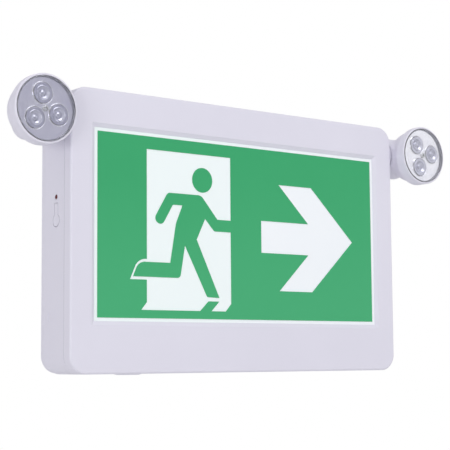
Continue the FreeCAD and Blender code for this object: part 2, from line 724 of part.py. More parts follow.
def make_sign_film():
    """Green film on the diffuser, cut out where the white of the sign shows."""
    sheet = box("film_sheet", "-%s / 2" % SIGN_WIDTH,
                "-%s - dims.film_thickness" % SIGN_BACK,
                "%s - %s / 2" % (WINDOW_LEVEL, SIGN_HEIGHT),
                SIGN_WIDTH, "dims.film_thickness", SIGN_HEIGHT)
    deep_start = SIGN_BACK + " - dims.past"
    deep = "dims.film_thickness + 2 * dims.past"
    holes = fuse("film_holes", [
        sign_shape("door_shape", DOOR, deep_start, deep),
        sign_shape("foot_space_shape", FOOT_SPACE, deep_start, deep),
        sign_shape("arrow_shape", ARROW, deep_start, deep)])
    ground = cut("film_ground", sheet, holes)
    runner = sign_shape("runner_shape", RUNNER, SIGN_BACK, "dims.film_thickness")
    head = cylinder("runner_head", "%g * %s" % (HEAD_RADIUS, SIGN_UNIT), "dims.film_thickness",
                    "%g * %s" % (HEAD_CENTRE[0], SIGN_UNIT), "-" + SIGN_BACK,
                    "%s + %g * %s" % (WINDOW_LEVEL, HEAD_CENTRE[1], SIGN_UNIT),
                    X_AXIS, "90")
    sheet_and_runner = fuse("film_with_runner", [ground, runner])
    return group("sign_film", [sheet_and_runner, head])


def make_light_box():
    low = "%s - %s / 2" % (WINDOW_LEVEL, PANEL_HEIGHT)
    diffuser = box("diffuser_panel", "-%s / 2" % PANEL_WIDTH, "-" + SIGN_BACK, low,
                   PANEL_WIDTH, "dims.panel_thickness", PANEL_HEIGHT)
    outer = box("tray_outer", "-%s / 2" % PANEL_WIDTH, "-" + TRAY_FRONT, low,
                PANEL_WIDTH, "dims.tray_depth", PANEL_HEIGHT)
    inner = box("tray_inner", "-%s / 2 + dims.tray_wall" % PANEL_WIDTH,
                "-%s - dims.past" % TRAY_FRONT, low + " + dims.tray_wall",
                PANEL_WIDTH + " - 2 * dims.tray_wall",
                "dims.tray_depth + dims.past - dims.tray_wall",
                PANEL_HEIGHT + " - 2 * dims.tray_wall")
    drills = [cylinder("tray_drill", "dims.fixing_radius + dims.fixing_play", "dims.tray_depth",
                       x, "-%s + dims.past" % TRAY_BACK, z, X_AXIS, "90")
              for x, z in tray_post_places()]
    tray = cut("light_tray", outer, fuse("tray_space", [inner] + drills))
    boards = []
    chips = []
    each_way = int(number("(%s / 2 - dims.chip_size) / dims.chip_pitch" % STRIP_LENGTH))
    for name, sign in (("top", 1), ("bottom", -1)):
        edge = "(%s + %d * (%s / 2 - dims.tray_wall))" % (WINDOW_LEVEL, sign, PANEL_HEIGHT)
        front = "(%s - (dims.tray_depth - dims.tray_wall) / 2 + dims.strip_width / 2)" % TRAY_FRONT
        base = edge + (" - dims.strip_thickness" if sign > 0 else "")
        boards.append(box("led_strip_" + name, "-%s / 2" % STRIP_LENGTH, "-" + front, base,
                          STRIP_LENGTH, "dims.strip_width", "dims.strip_thickness"))
        face = edge + (" - dims.strip_thickness - dims.chip_height" if sign > 0
                       else " + dims.strip_thickness")
        for step in range(-each_way, each_way + 1):
            chips.append(box("sign_led", "%d * dims.chip_pitch - dims.chip_size / 2" % step,
                             "-%s + (dims.strip_width - dims.chip_size) / 2" % front, face,
                             "dims.chip_size", "dims.chip_size", "dims.chip_height"))
    return [diffuser, tray] + boards + [group("sign_leds", chips)]


# ---------------------------------------------------------------- lamp heads

def tilted(item, z):
    """Put an item in the turning seam's frame, z in front of the seam along its axis."""
    item.Placement = Placement(Vector(), Rotation(X_AXIS, 1))
    item.setExpression("Placement.Rotation.Angle", "dims.seam_tilt * 1deg")
    item.setExpression("Placement.Base.y", "-sin(dims.seam_tilt * 1deg) * (%s)" % z)
    item.setExpression("Placement.Base.z", "cos(dims.seam_tilt * 1deg) * (%s)" % z)
    return item


def seam_block(name, ahead, z):
    """Large block on one side of a plane parallel to the seam, to cut with."""
    reach = "(4 * dims.rim_radius)"
    block = label(doc.addObject("Part::Cylinder", name), name)
    bind(block, Radius=reach, Height=reach)
    return tilted(block, z if ahead else "%s - %s" % (z, reach))


def to_head(item, side):
    """Move a piece from the lamp's own frame (+Z forward) to its place on the box."""
    return place(item, "%d * %s" % (side, HEAD_OFFSET), "-" + SEAM_CENTRE, HEAD_LEVEL,
                 X_AXIS, "90")


def is_junction(edge):
    """Edges where the bowl meets the barrel: curved in space and off the middle plane."""
    curved = edge.Curve.TypeId == "Part::GeomBSplineCurve"
    return curved and abs(edge.CenterOfMass.y) > 1


def make_neck(name, side):
    """Bowl and barrel in one piece, with the pivot tube that enters the housing."""
    axis_z = "-(%s - dims.swivel_depth)" % SEAM_CENTRE
    inboard = "(dims.head_reach - dims.collar_length - dims.swivel_gap)"
    shells = []
    spaces = []
    for tag, shrink in (("outer", "0"), ("inner", "dims.bowl_wall")):
        bowl = label(doc.addObject("Part::Ellipsoid", name + "_bowl"), name + "_bowl_" + tag)
        bind(bowl, Radius1="dims.bowl_length - " + shrink, Radius2="dims.bowl_radius - " + shrink,
             Radius3="dims.bowl_radius - " + shrink)
        mouth = "-dims.turn_gap" if tag == "outer" else "-dims.turn_gap - dims.cup_web"
        part = cut(name + "_bowl_cut", bowl, seam_block(name + "_mouth", True, mouth))
        reach = "(%s + dims.barrel_heel - 2 * (%s))" % (inboard, shrink)
        start = "-%s" % inboard if side > 0 else "-dims.barrel_heel"
        barrel = cylinder(name + "_barrel", "dims.barrel_radius - (%s)" % shrink, reach,
                          "%s + (%s)" % (start, shrink), "0", axis_z, Y_AXIS, "90")
        far = "dims.barrel_heel - (%s)" % shrink
        heel = round_edges(name + "_heel_" + tag, barrel,
                           lambda edge: lies_at(edge, X_AXIS, side * number(far)),
                           "dims.heel_round - (%s)" % shrink)
        (shells if tag == "outer" else spaces).extend([part, heel])
    shell = round_edges(name + "_shell", fuse(name + "_join", shells), is_junction,
                        "dims.neck_blend")
    tube_length = "(dims.bowl_wall + dims.swivel_gap + dims.collar_length + dims.wall" \
                  " + dims.seat_length + dims.washer_thickness + dims.face_play" \
                  " + dims.nut_thickness)"
    tube_start = "-%s + dims.bowl_wall - %s" % (inboard, tube_length) if side > 0 else \
        "%s - dims.bowl_wall" % inboard
    tube = cylinder(name + "_tube", "dims.pivot_radius", tube_length, tube_start, "0", axis_z,
                    Y_AXIS, "90")
    bore = cylinder(name + "_bore", "dims.pivot_bore", tube_length + " + 2 * dims.past",
                    tube_start + " - dims.past", "0", axis_z, Y_AXIS, "90")
    eye = label(doc.addObject("Part::Cylinder", name + "_eye"), name + "_eye")
    bind(eye, Radius="dims.post_radius + dims.pivot_play", Height="dims.cup_web * 4")
    tilted(eye, "-dims.turn_gap - 2.5 * dims.cup_web")
    hollow = cut(name + "_hollow", shell, fuse(name + "_space", spaces))
    whole = fuse(name + "_whole", [hollow, tube])
    neck = cut(name, whole, fuse(name + "_ways", [bore, eye]))
    return to_head(neck, side)


def make_collar(name, side):
    """Flanged bush in the side wall that the neck's tube turns in."""
    inside = "(dims.wall + dims.seat_length)"
    length = "(dims.collar_length + %s)" % inside
    shank_start = "%s - %s" % (HALF_WIDTH, inside) if side > 0 else "-" + HALF_WIDTH
    flange_start = HALF_WIDTH if side > 0 else "-%s - dims.collar_length" % HALF_WIDTH
    bore_start = shank_start if side > 0 else flange_start
    flange = cylinder(name + "_flange", "dims.barrel_radius", "dims.collar_length",
                      flange_start, "-dims.swivel_depth", HEAD_LEVEL, Y_AXIS, "90")
    outer_face = side * number("%s + dims.collar_length" % HALF_WIDTH)
    rim = round_edges(name + "_rim", flange, lambda edge: lies_at(edge, X_AXIS, outer_face),
                      "dims.collar_round")
    shank = cylinder(name + "_shank", "dims.collar_shank", inside, shank_start,
                     "-dims.swivel_depth", HEAD_LEVEL, Y_AXIS, "90")
    bore = cylinder(name + "_bore", "dims.pivot_radius + dims.pivot_play",
                    length + " + 2 * dims.past", bore_start + " - dims.past",
                    "-dims.swivel_depth", HEAD_LEVEL, Y_AXIS, "90")
    return cut(name, fuse(name + "_blank", [rim, shank]), bore)


def make_pivot_parts(name, side):
    """Spring washer and nut on the pivot tube, inside the side wall."""
    rings = []
    wall = "(%s - dims.seat_length)" % INNER_WIDTH
    for part, start, thick, inner, outer in (
            ("_washer", "0", "dims.washer_thickness", "dims.pivot_radius + dims.face_play",
             "dims.nut_radius - dims.face_play"),
            ("_nut", "dims.washer_thickness + dims.face_play", "dims.nut_thickness",
             "dims.pivot_radius + dims.bite / 2", "dims.nut_radius")):
        x = "%s - (%s) - %s" % (wall, start, thick) if side > 0 else "-%s + (%s)" % (wall, start)
        solid = cylinder(name + part + "_disc", outer, thick, x, "-dims.swivel_depth",
                         HEAD_LEVEL, Y_AXIS, "90")
        hole = cylinder(name + part + "_hole", inner, thick + " + 2 * dims.past",
                        x + " - dims.past",
                        "-dims.swivel_depth", HEAD_LEVEL, Y_AXIS, "90")
        rings.append(cut(name + part, solid, hole))
    return rings


def make_cup(name, side):
    """Lamp cup: round wall on the lamp axis, sloping floor and post on the seam's axis."""
    back = "-dims.rim_radius * tan(dims.seam_tilt * 1deg) - dims.past"
    height = "(dims.rim_depth - dims.cup_edge - (%s))" % back
    front = "(dims.rim_depth - dims.cup_edge)"
    blank = cylinder(name + "_blank", "dims.rim_radius", height, "0", "0", back)
    outside = round_edges(name + "_outside", blank,
                          lambda edge: lies_at(edge, Z_AXIS, number(front)), "dims.cup_round")
    inside = cylinder(name + "_inside", "dims.rim_radius - dims.cup_wall",
                      height + " + dims.past", "0", "0", back)
    cup_wall = cut(name + "_block", outside, seam_block(name + "_behind", False, "0"))
    space = cut(name + "_cavity", inside, seam_block(name + "_floor", False, "dims.cup_web"))
    open_cup = cut(name + "_open", cup_wall, space)
    post = label(doc.addObject("Part::Cylinder", name + "_post"), name + "_post")
    bind(post, Radius="dims.post_radius", Height="dims.post_length + 0.5 * dims.cup_web")
    tilted(post, "-dims.post_length")
    boss = cylinder(name + "_boss", "dims.screw_boss", "dims.board_seat")
    leads = label(doc.addObject("Part::Cylinder", name + "_leads"), name + "_leads")
    bind(leads, Radius="dims.post_bore", Height="dims.post_length + 4 * dims.cup_web")
    tilted(leads, "-dims.post_length - dims.past")
    bridge = box(name + "_bridge", "-dims.post_radius + dims.past", "-dims.screw_boss",
                 "dims.cup_web - dims.bridge_depth", "2 * dims.post_radius - 2 * dims.past",
                 "2 * dims.screw_boss", "dims.bridge_depth")
    screw_way = cylinder(name + "_screw_way", "dims.screw_radius", "dims.rim_depth",
                         "0", "0", "-dims.past")
    drilled = cut(name + "_drilled", fuse(name + "_solid", [open_cup, post]), leads)
    held = fuse(name + "_held", [drilled, bridge, boss])
    return to_head(cut(name, held, screw_way), side)


def make_cup_clip(name, side):
    """Retaining ring that holds the cup's post in the bowl."""
    solid = label(doc.addObject("Part::Cylinder", name + "_disc"), name + "_disc")
    bind(solid, Radius="dims.clip_radius", Height="dims.clip_thickness")
    behind = "-2 * dims.turn_gap - dims.cup_web - dims.clip_thickness"
    tilted(solid, behind)
    hole = label(doc.addObject("Part::Cylinder", name + "_hole"), name + "_hole")
    bind(hole, Radius="dims.post_radius + dims.bite / 2",
         Height="dims.clip_thickness + 2 * dims.past")
    tilted(hole, behind + " - dims.past")
    return to_head(cut(name, solid, hole), side)


def ring_places(clocking):
    """Three places round the lamp axis, as expression pairs, the first at the clocking."""
    return [("dims.optic_ring * cos(%g * 1deg)" % (clocking + 120 * turn),
             "dims.optic_ring * sin(%g * 1deg)" % (clocking + 120 * turn)) for turn in range(3)]


def make_optics(prefix, side, clocking):
    """LED board, chips, reflector, collimators, centre screw and lens of one lamp."""
    places = ring_places(clocking)
    board = cut(prefix + "_led_board",
                cylinder(prefix + "_board_disc", "dims.board_radius", "dims.board_thickness",
                         "0", "0", "dims.board_seat"),
                cylinder(prefix + "_board_hole", "dims.screw_radius + dims.screw_play",
                         "dims.rim_depth"))
    chip_seat = "dims.board_seat + dims.board_thickness"
    chips = [box(prefix + "_chip", x + " - dims.lamp_chip / 2", y + " - dims.lamp_chip / 2",
                 chip_seat, "dims.lamp_chip", "dims.lamp_chip", "dims.lamp_chip_height")
             for x, y in places]
    plate_holes = [cylinder(prefix + "_plate_hole", "dims.optic_radius + dims.optic_play",
                            "dims.rim_depth", x, y) for x, y in places]
    plate_holes.append(cylinder(prefix + "_plate_hole", "dims.screw_radius + dims.screw_play",
                                "dims.rim_depth"))
    reflector = cut(prefix + "_reflector",
                    cylinder(prefix + "_plate", "dims.reflector_radius",
                             "dims.reflector_thickness", "0", "0", "dims.reflector_seat"),
                    fuse(prefix + "_plate_holes", plate_holes))
    lenses = [make_collimator(prefix, chip_seat + " + dims.lamp_chip_height", x, y)
              for x, y in places]
    return [to_head(board, side), to_head(group(prefix + "_lamp_leds", chips), side),
            to_head(reflector, side), to_head(group(prefix + "_optics", lenses), side),
            to_head(make_screw(prefix), side), to_head(make_lens(prefix), side)]


def make_collimator(prefix, seat, x, y):
    """Collimator: a cone from the chip to a flat face with a shallow dimple."""
    cone = label(doc.addObject("Part::Cone", prefix + "_cone"), prefix + "_cone")
    bind(cone, Radius1="dims.optic_root", Radius2="dims.optic_radius",
         Height="dims.optic_front - (%s)" % seat)
    place(cone, x, y, seat)
    dimple = label(doc.addObject("Part::Cone", prefix + "_dimple"), prefix + "_dimple")
    bind(dimple, Radius1="dims.optic_dimple * 0.7", Radius2="dims.optic_dimple",
         Height="dims.dimple_depth + dims.bite")
    place(dimple, x, y, "dims.optic_front - dims.dimple_depth")
    return cut(prefix + "_collimator", cone, dimple)


def make_screw(prefix):
    head = label(doc.addObject("Part::Cone", prefix + "_screw_head"), prefix + "_screw_head")
    bind(head, Radius1="dims.screw_head", Radius2="dims.screw_head * 0.7",
         Height="dims.screw_head_height")
    seat = "dims.reflector_seat + dims.reflector_thickness"
    place(head, "0", "0", seat)
    shank = cylinder(prefix + "_screw_shank", "dims.screw_radius",
                     seat + " - dims.screw_tip + dims.bite", "0", "0", "dims.screw_tip")
    return fuse(prefix + "_centre_screw", [head, shank])


def make_lens(prefix):
    """Clear lens: a flat disc with a softened front edge and a thin skirt behind."""
    body = new_body(prefix + "_lens")
    front = "dims.rim_depth"
    back = "(dims.rim_depth - dims.lens_thickness)"
    tail = "(dims.reflector_seat + dims.reflector_thickness)"
    outer = "(dims.lens_radius - dims.lens_step)"
    inner = "(%s - dims.skirt_wall)" % outer
    profile = outline(sketch(body, "XZ_Plane"), [
        ("0", back), (inner, back), (inner, tail), (outer, tail),
        ("dims.lens_radius", back), ("dims.lens_radius", front + " - dims.lens_round"),
        ("dims.lens_radius - dims.lens_round", front), ("0", front)])
    revolve(body, profile)
    return body


# ---------------------------------------------------------------- button, switch, inside

def make_button():
    """Tongue with a round pad, flush with the left side."""
    body = new_body("test_button")
    face = "-" + HALF_WIDTH
    tongue = rectangle(sketch(body, "YZ_Plane", face),
                       "-dims.panel_depth - dims.tongue_width / 2",
                       "-dims.panel_depth + dims.tongue_width / 2",
                       "dims.button_level", "dims.button_hinge - dims.face_play")
    pad(body, tongue, "dims.wall")
    disc = circle(sketch(body, "YZ_Plane", face),
                  "-dims.panel_depth", "dims.button_level", "dims.pad_radius")
    pad(body, disc, "dims.wall")
    return body


def make_switch():
    depth = "-dims.panel_depth"
    plunger = cylinder("switch_plunger", "dims.plunger_radius", "dims.plunger_length",
                       "-" + INNER_WIDTH, depth, "dims.button_level", Y_AXIS, "90")
    case = box("switch_case", "-%s - dims.switch_height" % SIDE_BOARD,
               depth + " - dims.switch_size / 2", "dims.button_level - dims.switch_size / 2",
               "dims.switch_height", "dims.switch_size", "dims.switch_size")
    well = cylinder("switch_well", "dims.switch_bore",
                    "dims.switch_height - dims.switch_floor + dims.past",
                    "-%s - dims.switch_height - dims.past" % SIDE_BOARD, depth,
                    "dims.button_level", Y_AXIS, "90")
    switch = cut("test_switch", case, well)
    board = box("side_board", "-" + SIDE_BOARD, "-%s - dims.side_board_width" % BOARD_FACE,
                "dims.button_level - dims.side_board_drop", "dims.side_board_thickness",
                "dims.side_board_width", "dims.side_board_length")
    return [plunger, switch, board]


def make_indicator():
    """Indicator LED: stem from the small board, ending in a dome outside the wall."""
    body = new_body("indicator_led")
    stem = "(%s - %s)" % (HALF_WIDTH, SIDE_BOARD)
    tip = "(%s + dims.indicator_proud)" % stem
    profile = outline(sketch(body, "XZ_Plane"), [
        ("0", "0"), ("dims.indicator_radius", "0"),
        ("dims.indicator_radius", tip + " - dims.indicator_radius * 0.5"),
        ("dims.indicator_radius * 0.75", tip + " - dims.indicator_radius * 0.2"),
        ("dims.indicator_radius * 0.35", tip), ("0", tip)])
    revolve(body, profile)
    return place(body, "-" + SIDE_BOARD, "-dims.panel_depth", "dims.indicator_level",
                 Y_AXIS, "-90")


def make_plug():
    """Snap-in plug in the bottom wall: low dome outside, barbed shank inside."""
    body = new_body("hole_plug")
    tip = "(dims.plug_radius - dims.plug_barb)"
    bore = "(%s - dims.plug_wall)" % tip
    profile = outline(sketch(body, "XZ_Plane"), [
        ("0", "-dims.plug_proud"), ("dims.plug_cap * 0.8", "-dims.plug_proud * 0.9"),
        ("dims.plug_cap", "-dims.plug_edge"), ("dims.plug_cap", "0"), ("dims.plug_radius", "0"),
        ("dims.plug_radius", "dims.wall + dims.plug_length * 0.1"),
        ("dims.plug_radius + dims.plug_barb", "dims.wall + dims.plug_length * 0.3"),
        (tip, "dims.wall + dims.plug_length"), (bore, "dims.wall + dims.plug_length"),
        (bore, "dims.plug_floor"), ("0", "dims.plug_floor")])
    revolve(body, profile)
    return place(body, "-dims.plug_offset", "-dims.plug_depth", "-dims.body_height / 2")


def make_main_board():
    low = "-dims.board_height / 2"
    sheet = box("board_blank", "-" + BOARD_LEFT, "-" + BOARD_FACE, low,
                "dims.board_width", "dims.board_sheet", "dims.board_height")
    drills = [cylinder("board_drill", "dims.fixing_radius + dims.fixing_play", "dims.stand_off",
                       x, "-dims.back_wall - dims.stand_off + dims.past", z, X_AXIS, "90")
              for x, z in board_boss_places()]
    board = cut("main_board", sheet, fuse("board_drills", drills))
    middle = "(-%s + dims.board_width / 2 + dims.core_shift)" % BOARD_LEFT
    core = box("transformer_core", middle + " - dims.core_width / 2",
               "-%s - dims.core_lift - dims.core_depth" % BOARD_FACE,
               "dims.core_rise - dims.core_height / 2",
               "dims.core_width", "dims.core_depth", "dims.core_height")
    winding = box("transformer_winding", middle + " - dims.bobbin_width / 2",
                  "-%s - dims.bobbin_depth" % BOARD_FACE,
                  "dims.core_rise - dims.bobbin_height / 2",
                  "dims.bobbin_width", "dims.bobbin_depth", "dims.bobbin_height")
    transformer = fuse("transformer", [core, winding])
    block_left = "(-%s + dims.board_width - dims.block_right - dims.block_width)" % BOARD_LEFT
    block_low = "(-dims.board_height / 2 + dims.block_rise)"
    block = box("terminal_case", block_left, "-%s - dims.block_depth" % BOARD_FACE, block_low,
                "dims.block_width", "dims.block_depth", "dims.block_height")
    ways = [cylinder("terminal_way", "dims.block_way", "dims.block_way_length",
                     "%s + dims.block_width / 2 + %d * dims.block_pitch" % (block_left, step),
                     "-%s - dims.block_depth / 2" % BOARD_FACE, block_low + " - dims.past")
            for step in (-1, 0, 1)]
    terminal = cut("terminal_block", block, fuse("terminal_ways", ways))
    cans = [cylinder("capacitor", "dims.can_radius", "dims.can_height",
                     "-%s + dims.can_left + %d * dims.can_pitch" % (BOARD_LEFT, step),
                     "-" + BOARD_FACE, "dims.can_level", X_AXIS, "90") for step in (0, 1)]
    return [board, transformer, terminal, group("capacitors", cans)]


def make_battery():
    """Four cells side by side in one sleeve, and the clip that holds them down."""
    x = "dims.pack_left"
    y = "-dims.back_wall - dims.cell_radius"
    cells = [cylinder("cell", "dims.cell_radius", "dims.cell_length", x, y,
                      "dims.pack_level + %d * dims.cell_radius" % step, Y_AXIS, "90")
             for step in (-3, -1, 1, 3)]
    sleeve_back = "(dims.sleeve_start * dims.cell_radius)"
    sleeve = box("cell_sleeve", x, "-dims.back_wall - 2 * dims.cell_radius + " + sleeve_back,
                 "dims.pack_level - 3 * dims.cell_radius", "dims.cell_length",
                 "2 * dims.cell_radius - 2 * " + sleeve_back, "6 * dims.cell_radius")
    pack = fuse("battery_pack", cells + [sleeve])
    body = new_body("battery_clip")
    reach = "(4 * dims.cell_radius + dims.clip_play)"
    over = "(dims.back_wall + 2 * dims.cell_radius + dims.clip_play)"
    foot = "(dims.back_wall + dims.stand_off)"
    edge = "(%s + dims.clip_sheet + dims.clip_foot)" % reach
    half = [(edge, foot), (reach, foot), (reach, over)]
    half_out = [(reach + " + dims.clip_sheet", over + " + dims.clip_sheet"),
                (reach + " + dims.clip_sheet", foot + " + dims.clip_sheet"),
                (edge, foot + " + dims.clip_sheet")]
    level = "dims.pack_level"
    points = [("-" + d, "%s + %s" % (level, z)) for z, d in half]
    points += [("-" + d, "%s - %s" % (level, z)) for z, d in reversed(half)]
    points += [("-(%s)" % d, "%s - (%s)" % (level, z)) for z, d in reversed(half_out)]
    points += [("-(%s)" % d, "%s + (%s)" % (level, z)) for z, d in half_out]
    profile = outline(sketch(body, "YZ_Plane", "dims.pack_left + dims.cell_length / 2"), points)
    pad(body, profile, "dims.clip_band", middle=True)
    holes = sketch(body, "XZ_Plane")
    for hole_x, z in clip_foot_places():
        circle(holes, hole_x, z, "dims.fixing_radius + dims.fixing_play")
    pocket(body, holes, reverse=True)
    return [pack, body]


def make_fixings(name, places, seat, length):
    """Pan-head screws that point at the wall, their heads in front of the seat."""
    screws = []
    for x, z in places:
        head = cylinder(name + "_head", "dims.fixing_head", "dims.fixing_head_height",
                        x, "-(%s)" % seat, z, X_AXIS, "90")
        shank = cylinder(name + "_shank", "dims.fixing_radius", length,
                         x, "-(%s) + (%s)" % (seat, length), z, X_AXIS, "90")
        screws.append(fuse(name + "_one", [head, shank]))
    return group(name, screws)


# ---------------------------------------------------------------- assembly

pieces = [make_housing(), make_cover(), make_sign_film()]
pieces += make_light_box()
pieces += make_main_board()
pieces += make_battery()
pieces += make_switch()
pieces += [make_button(), make_indicator(), make_plug()]
pieces += [
    make_fixings("tray_screws", tray_post_places(), TRAY_BACK + " + dims.tray_wall",
                 "dims.tray_screw"),
    make_fixings("board_screws", board_boss_places(), BOARD_FACE, "dims.stand_off"),
    make_fixings("clip_screws", clip_foot_places(),
                 "dims.back_wall + dims.stand_off + dims.clip_sheet", "dims.stand_off"),
]
for prefix, side, clocking in (("left", -1, 101.7), ("right", 1, 129.5)):
    pieces.append(make_neck(prefix + "_neck", side))
    pieces.append(make_collar(prefix + "_swivel_collar", side))
    pieces += make_pivot_parts(prefix + "_swivel", side)
    pieces.append(make_cup(prefix + "_lamp_cup", side))
    pieces.append(make_cup_clip(prefix + "_cup_clip", side))
    pieces += make_optics(prefix, side, clocking)

doc.recompute()
for item in doc.Objects:
    if "Invalid" in item.State or "Error" in item.State:
        raise RuntimeError("%s (%s): %s" % (item.Name, item.Label, item.State))

os.makedirs("parts", exist_ok=True)
for piece in pieces:
    if piece.Shape.isNull() or not piece.Shape.isValid() or not piece.Shape.Solids:
        raise RuntimeError("%s has no valid shape" % piece.Label)
    piece.Shape.exportStep("parts/%s.step" % piece.Label)
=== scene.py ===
import logging
import math
from dataclasses import dataclass
from enum import Enum

import bpy
import numpy as np
from mathutils import Matrix, Vector

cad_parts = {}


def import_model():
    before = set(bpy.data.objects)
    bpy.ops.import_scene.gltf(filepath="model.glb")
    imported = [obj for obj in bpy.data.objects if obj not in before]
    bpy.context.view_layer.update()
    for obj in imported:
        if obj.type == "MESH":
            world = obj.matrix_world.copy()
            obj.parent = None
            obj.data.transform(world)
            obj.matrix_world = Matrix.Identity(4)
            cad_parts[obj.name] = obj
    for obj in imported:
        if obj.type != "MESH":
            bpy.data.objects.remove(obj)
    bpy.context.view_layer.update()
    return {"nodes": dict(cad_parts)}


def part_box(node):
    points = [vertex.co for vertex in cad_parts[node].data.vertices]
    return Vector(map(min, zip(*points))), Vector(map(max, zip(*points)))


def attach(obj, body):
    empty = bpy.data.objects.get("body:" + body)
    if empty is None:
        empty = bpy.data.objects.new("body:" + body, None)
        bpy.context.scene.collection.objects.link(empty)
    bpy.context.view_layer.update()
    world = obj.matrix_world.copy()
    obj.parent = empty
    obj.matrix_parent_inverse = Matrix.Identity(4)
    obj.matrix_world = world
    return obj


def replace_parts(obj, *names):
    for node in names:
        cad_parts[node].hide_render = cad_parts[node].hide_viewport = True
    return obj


# Looks of a wall-fixed emergency exit light: satin white case, lit running-figure sign
# and two swivelling lamp heads.  Metres; the frame is the CAD model's: origin at the
# centre of the back face, the front looks along -Y, +Z is up.

LOG = logging.getLogger("exit_light")
MM = 0.001

Triple = tuple[float, float, float]
Colour = Triple
Span = tuple[float, float]

PURE_WHITE: Colour = (1.0, 1.0, 1.0)
UNSTRETCHED: Triple = (1.0, 1.0, 1.0)
# Most values of a noise texture lie in this span.
NOISE_SPAN: Span = (0.3, 0.7)


class Side(Enum):
    """The two ends of the case, with the sign of their X coordinate."""

    LEFT = -1
    RIGHT = 1

    @property
    def prefix(self) -> str:
        """Start of the names of this side's nodes and bodies."""
        return self.name.lower()


# ---------------------------------------------------------------- shader helpers

class Nodes:
    """Adds nodes to one node tree and links them."""

    def __init__(self, tree: bpy.types.NodeTree) -> None:
        """Keep the tree.

        Args:
            tree: node tree of a material, a group or the world.
        """
        self.tree = tree

    def add(self, kind: str, **settings: object) -> bpy.types.Node:
        """Add a node and set its properties.

        Args:
            kind: node type, without the ShaderNode prefix where it has one.
            settings: attributes of the node, such as operation.

        Returns:
            The new node.
        """
        name = kind if kind.startswith("NodeGroup") else "ShaderNode" + kind
        node = self.tree.nodes.new(name)
        for key, value in settings.items():
            setattr(node, key, value)
        return node

    def feed(self, node: bpy.types.Node, **inputs: object) -> bpy.types.Node:
        """Set or link a node's inputs by name; an underscore stands for a space.

        Args:
            node: the node that takes the inputs.
            inputs: a socket to link from, or a plain value.

        Returns:
            The same node.
        """
        for key, value in inputs.items():
            socket = node.inputs[int(key[1:]) if key[1:].isdigit() else key.replace("_", " ")]
            if isinstance(value, bpy.types.NodeSocket):
                self.tree.links.new(value, socket)
            elif isinstance(value, tuple) and len(value) == 3 and socket.type == "RGBA":
                socket.default_value = (*value, 1.0)
            else:
                socket.default_value = value
        return node

    def math(self, operation: str, first: object, second: object) -> bpy.types.NodeSocket:
        """Add a Math node.

        Args:
            operation: its operation.
            first: socket or number.
            second: socket or number.

        Returns:
            Its output.
        """
        node = self.add("Math", operation=operation)
        return self.feed(node, _0=first, _1=second).outputs[0]

    def fit(self, value: bpy.types.NodeSocket, source: Span, target: Span,
            smooth: bool = False) -> bpy.types.NodeSocket:
        """Map a value from one span to another, clamped.

        Args:
            value: socket to map.
            source: low and high of the value.
            target: low and high of the result.
            smooth: ease in and out.

        Returns:
            The mapped value.
        """
        node = self.add("MapRange", interpolation_type="SMOOTHSTEP" if smooth else "LINEAR")
        self.feed(node, Value=value, From_Min=source[0], From_Max=source[1],
                  To_Min=target[0], To_Max=target[1])
        return node.outputs[0]

    def mix(self, factor: object, first: object, second: object) -> bpy.types.NodeSocket:
        """Mix two colours.

        Args:
            factor: socket or number.
            first: colour at factor 0.
            second: colour at factor 1.

        Returns:
            The mixed colour.
        """
        node = self.add("MixRGB")
        return self.feed(node, Fac=factor, Color1=first, Color2=second).outputs[0]

    def noise(self, vector: bpy.types.NodeSocket, scale: object, detail: float = 3.0,
              rough: float = 0.5) -> bpy.types.NodeSocket:
        """Add a Noise Texture and give its value."""
        node = self.add("TexNoise")
        return self.feed(node, Vector=vector, Scale=scale, Detail=detail,
                         Roughness=rough).outputs[0]

    def object_point(self, scale: Triple = UNSTRETCHED) -> bpy.types.NodeSocket:
        """Object coordinates, stretched along the axes where scale isn't 1."""
        point = self.add("TexCoord").outputs["Object"]
        if scale == UNSTRETCHED:
            return point
        return self.feed(self.add("Mapping"), Vector=point, Scale=scale).outputs[0]

    def group(self, tree: bpy.types.NodeTree, **inputs: object) -> bpy.types.Node:
        """Place a shared node group."""
        node = self.add("Group")
        node.node_tree = tree
        return self.feed(node, **inputs)


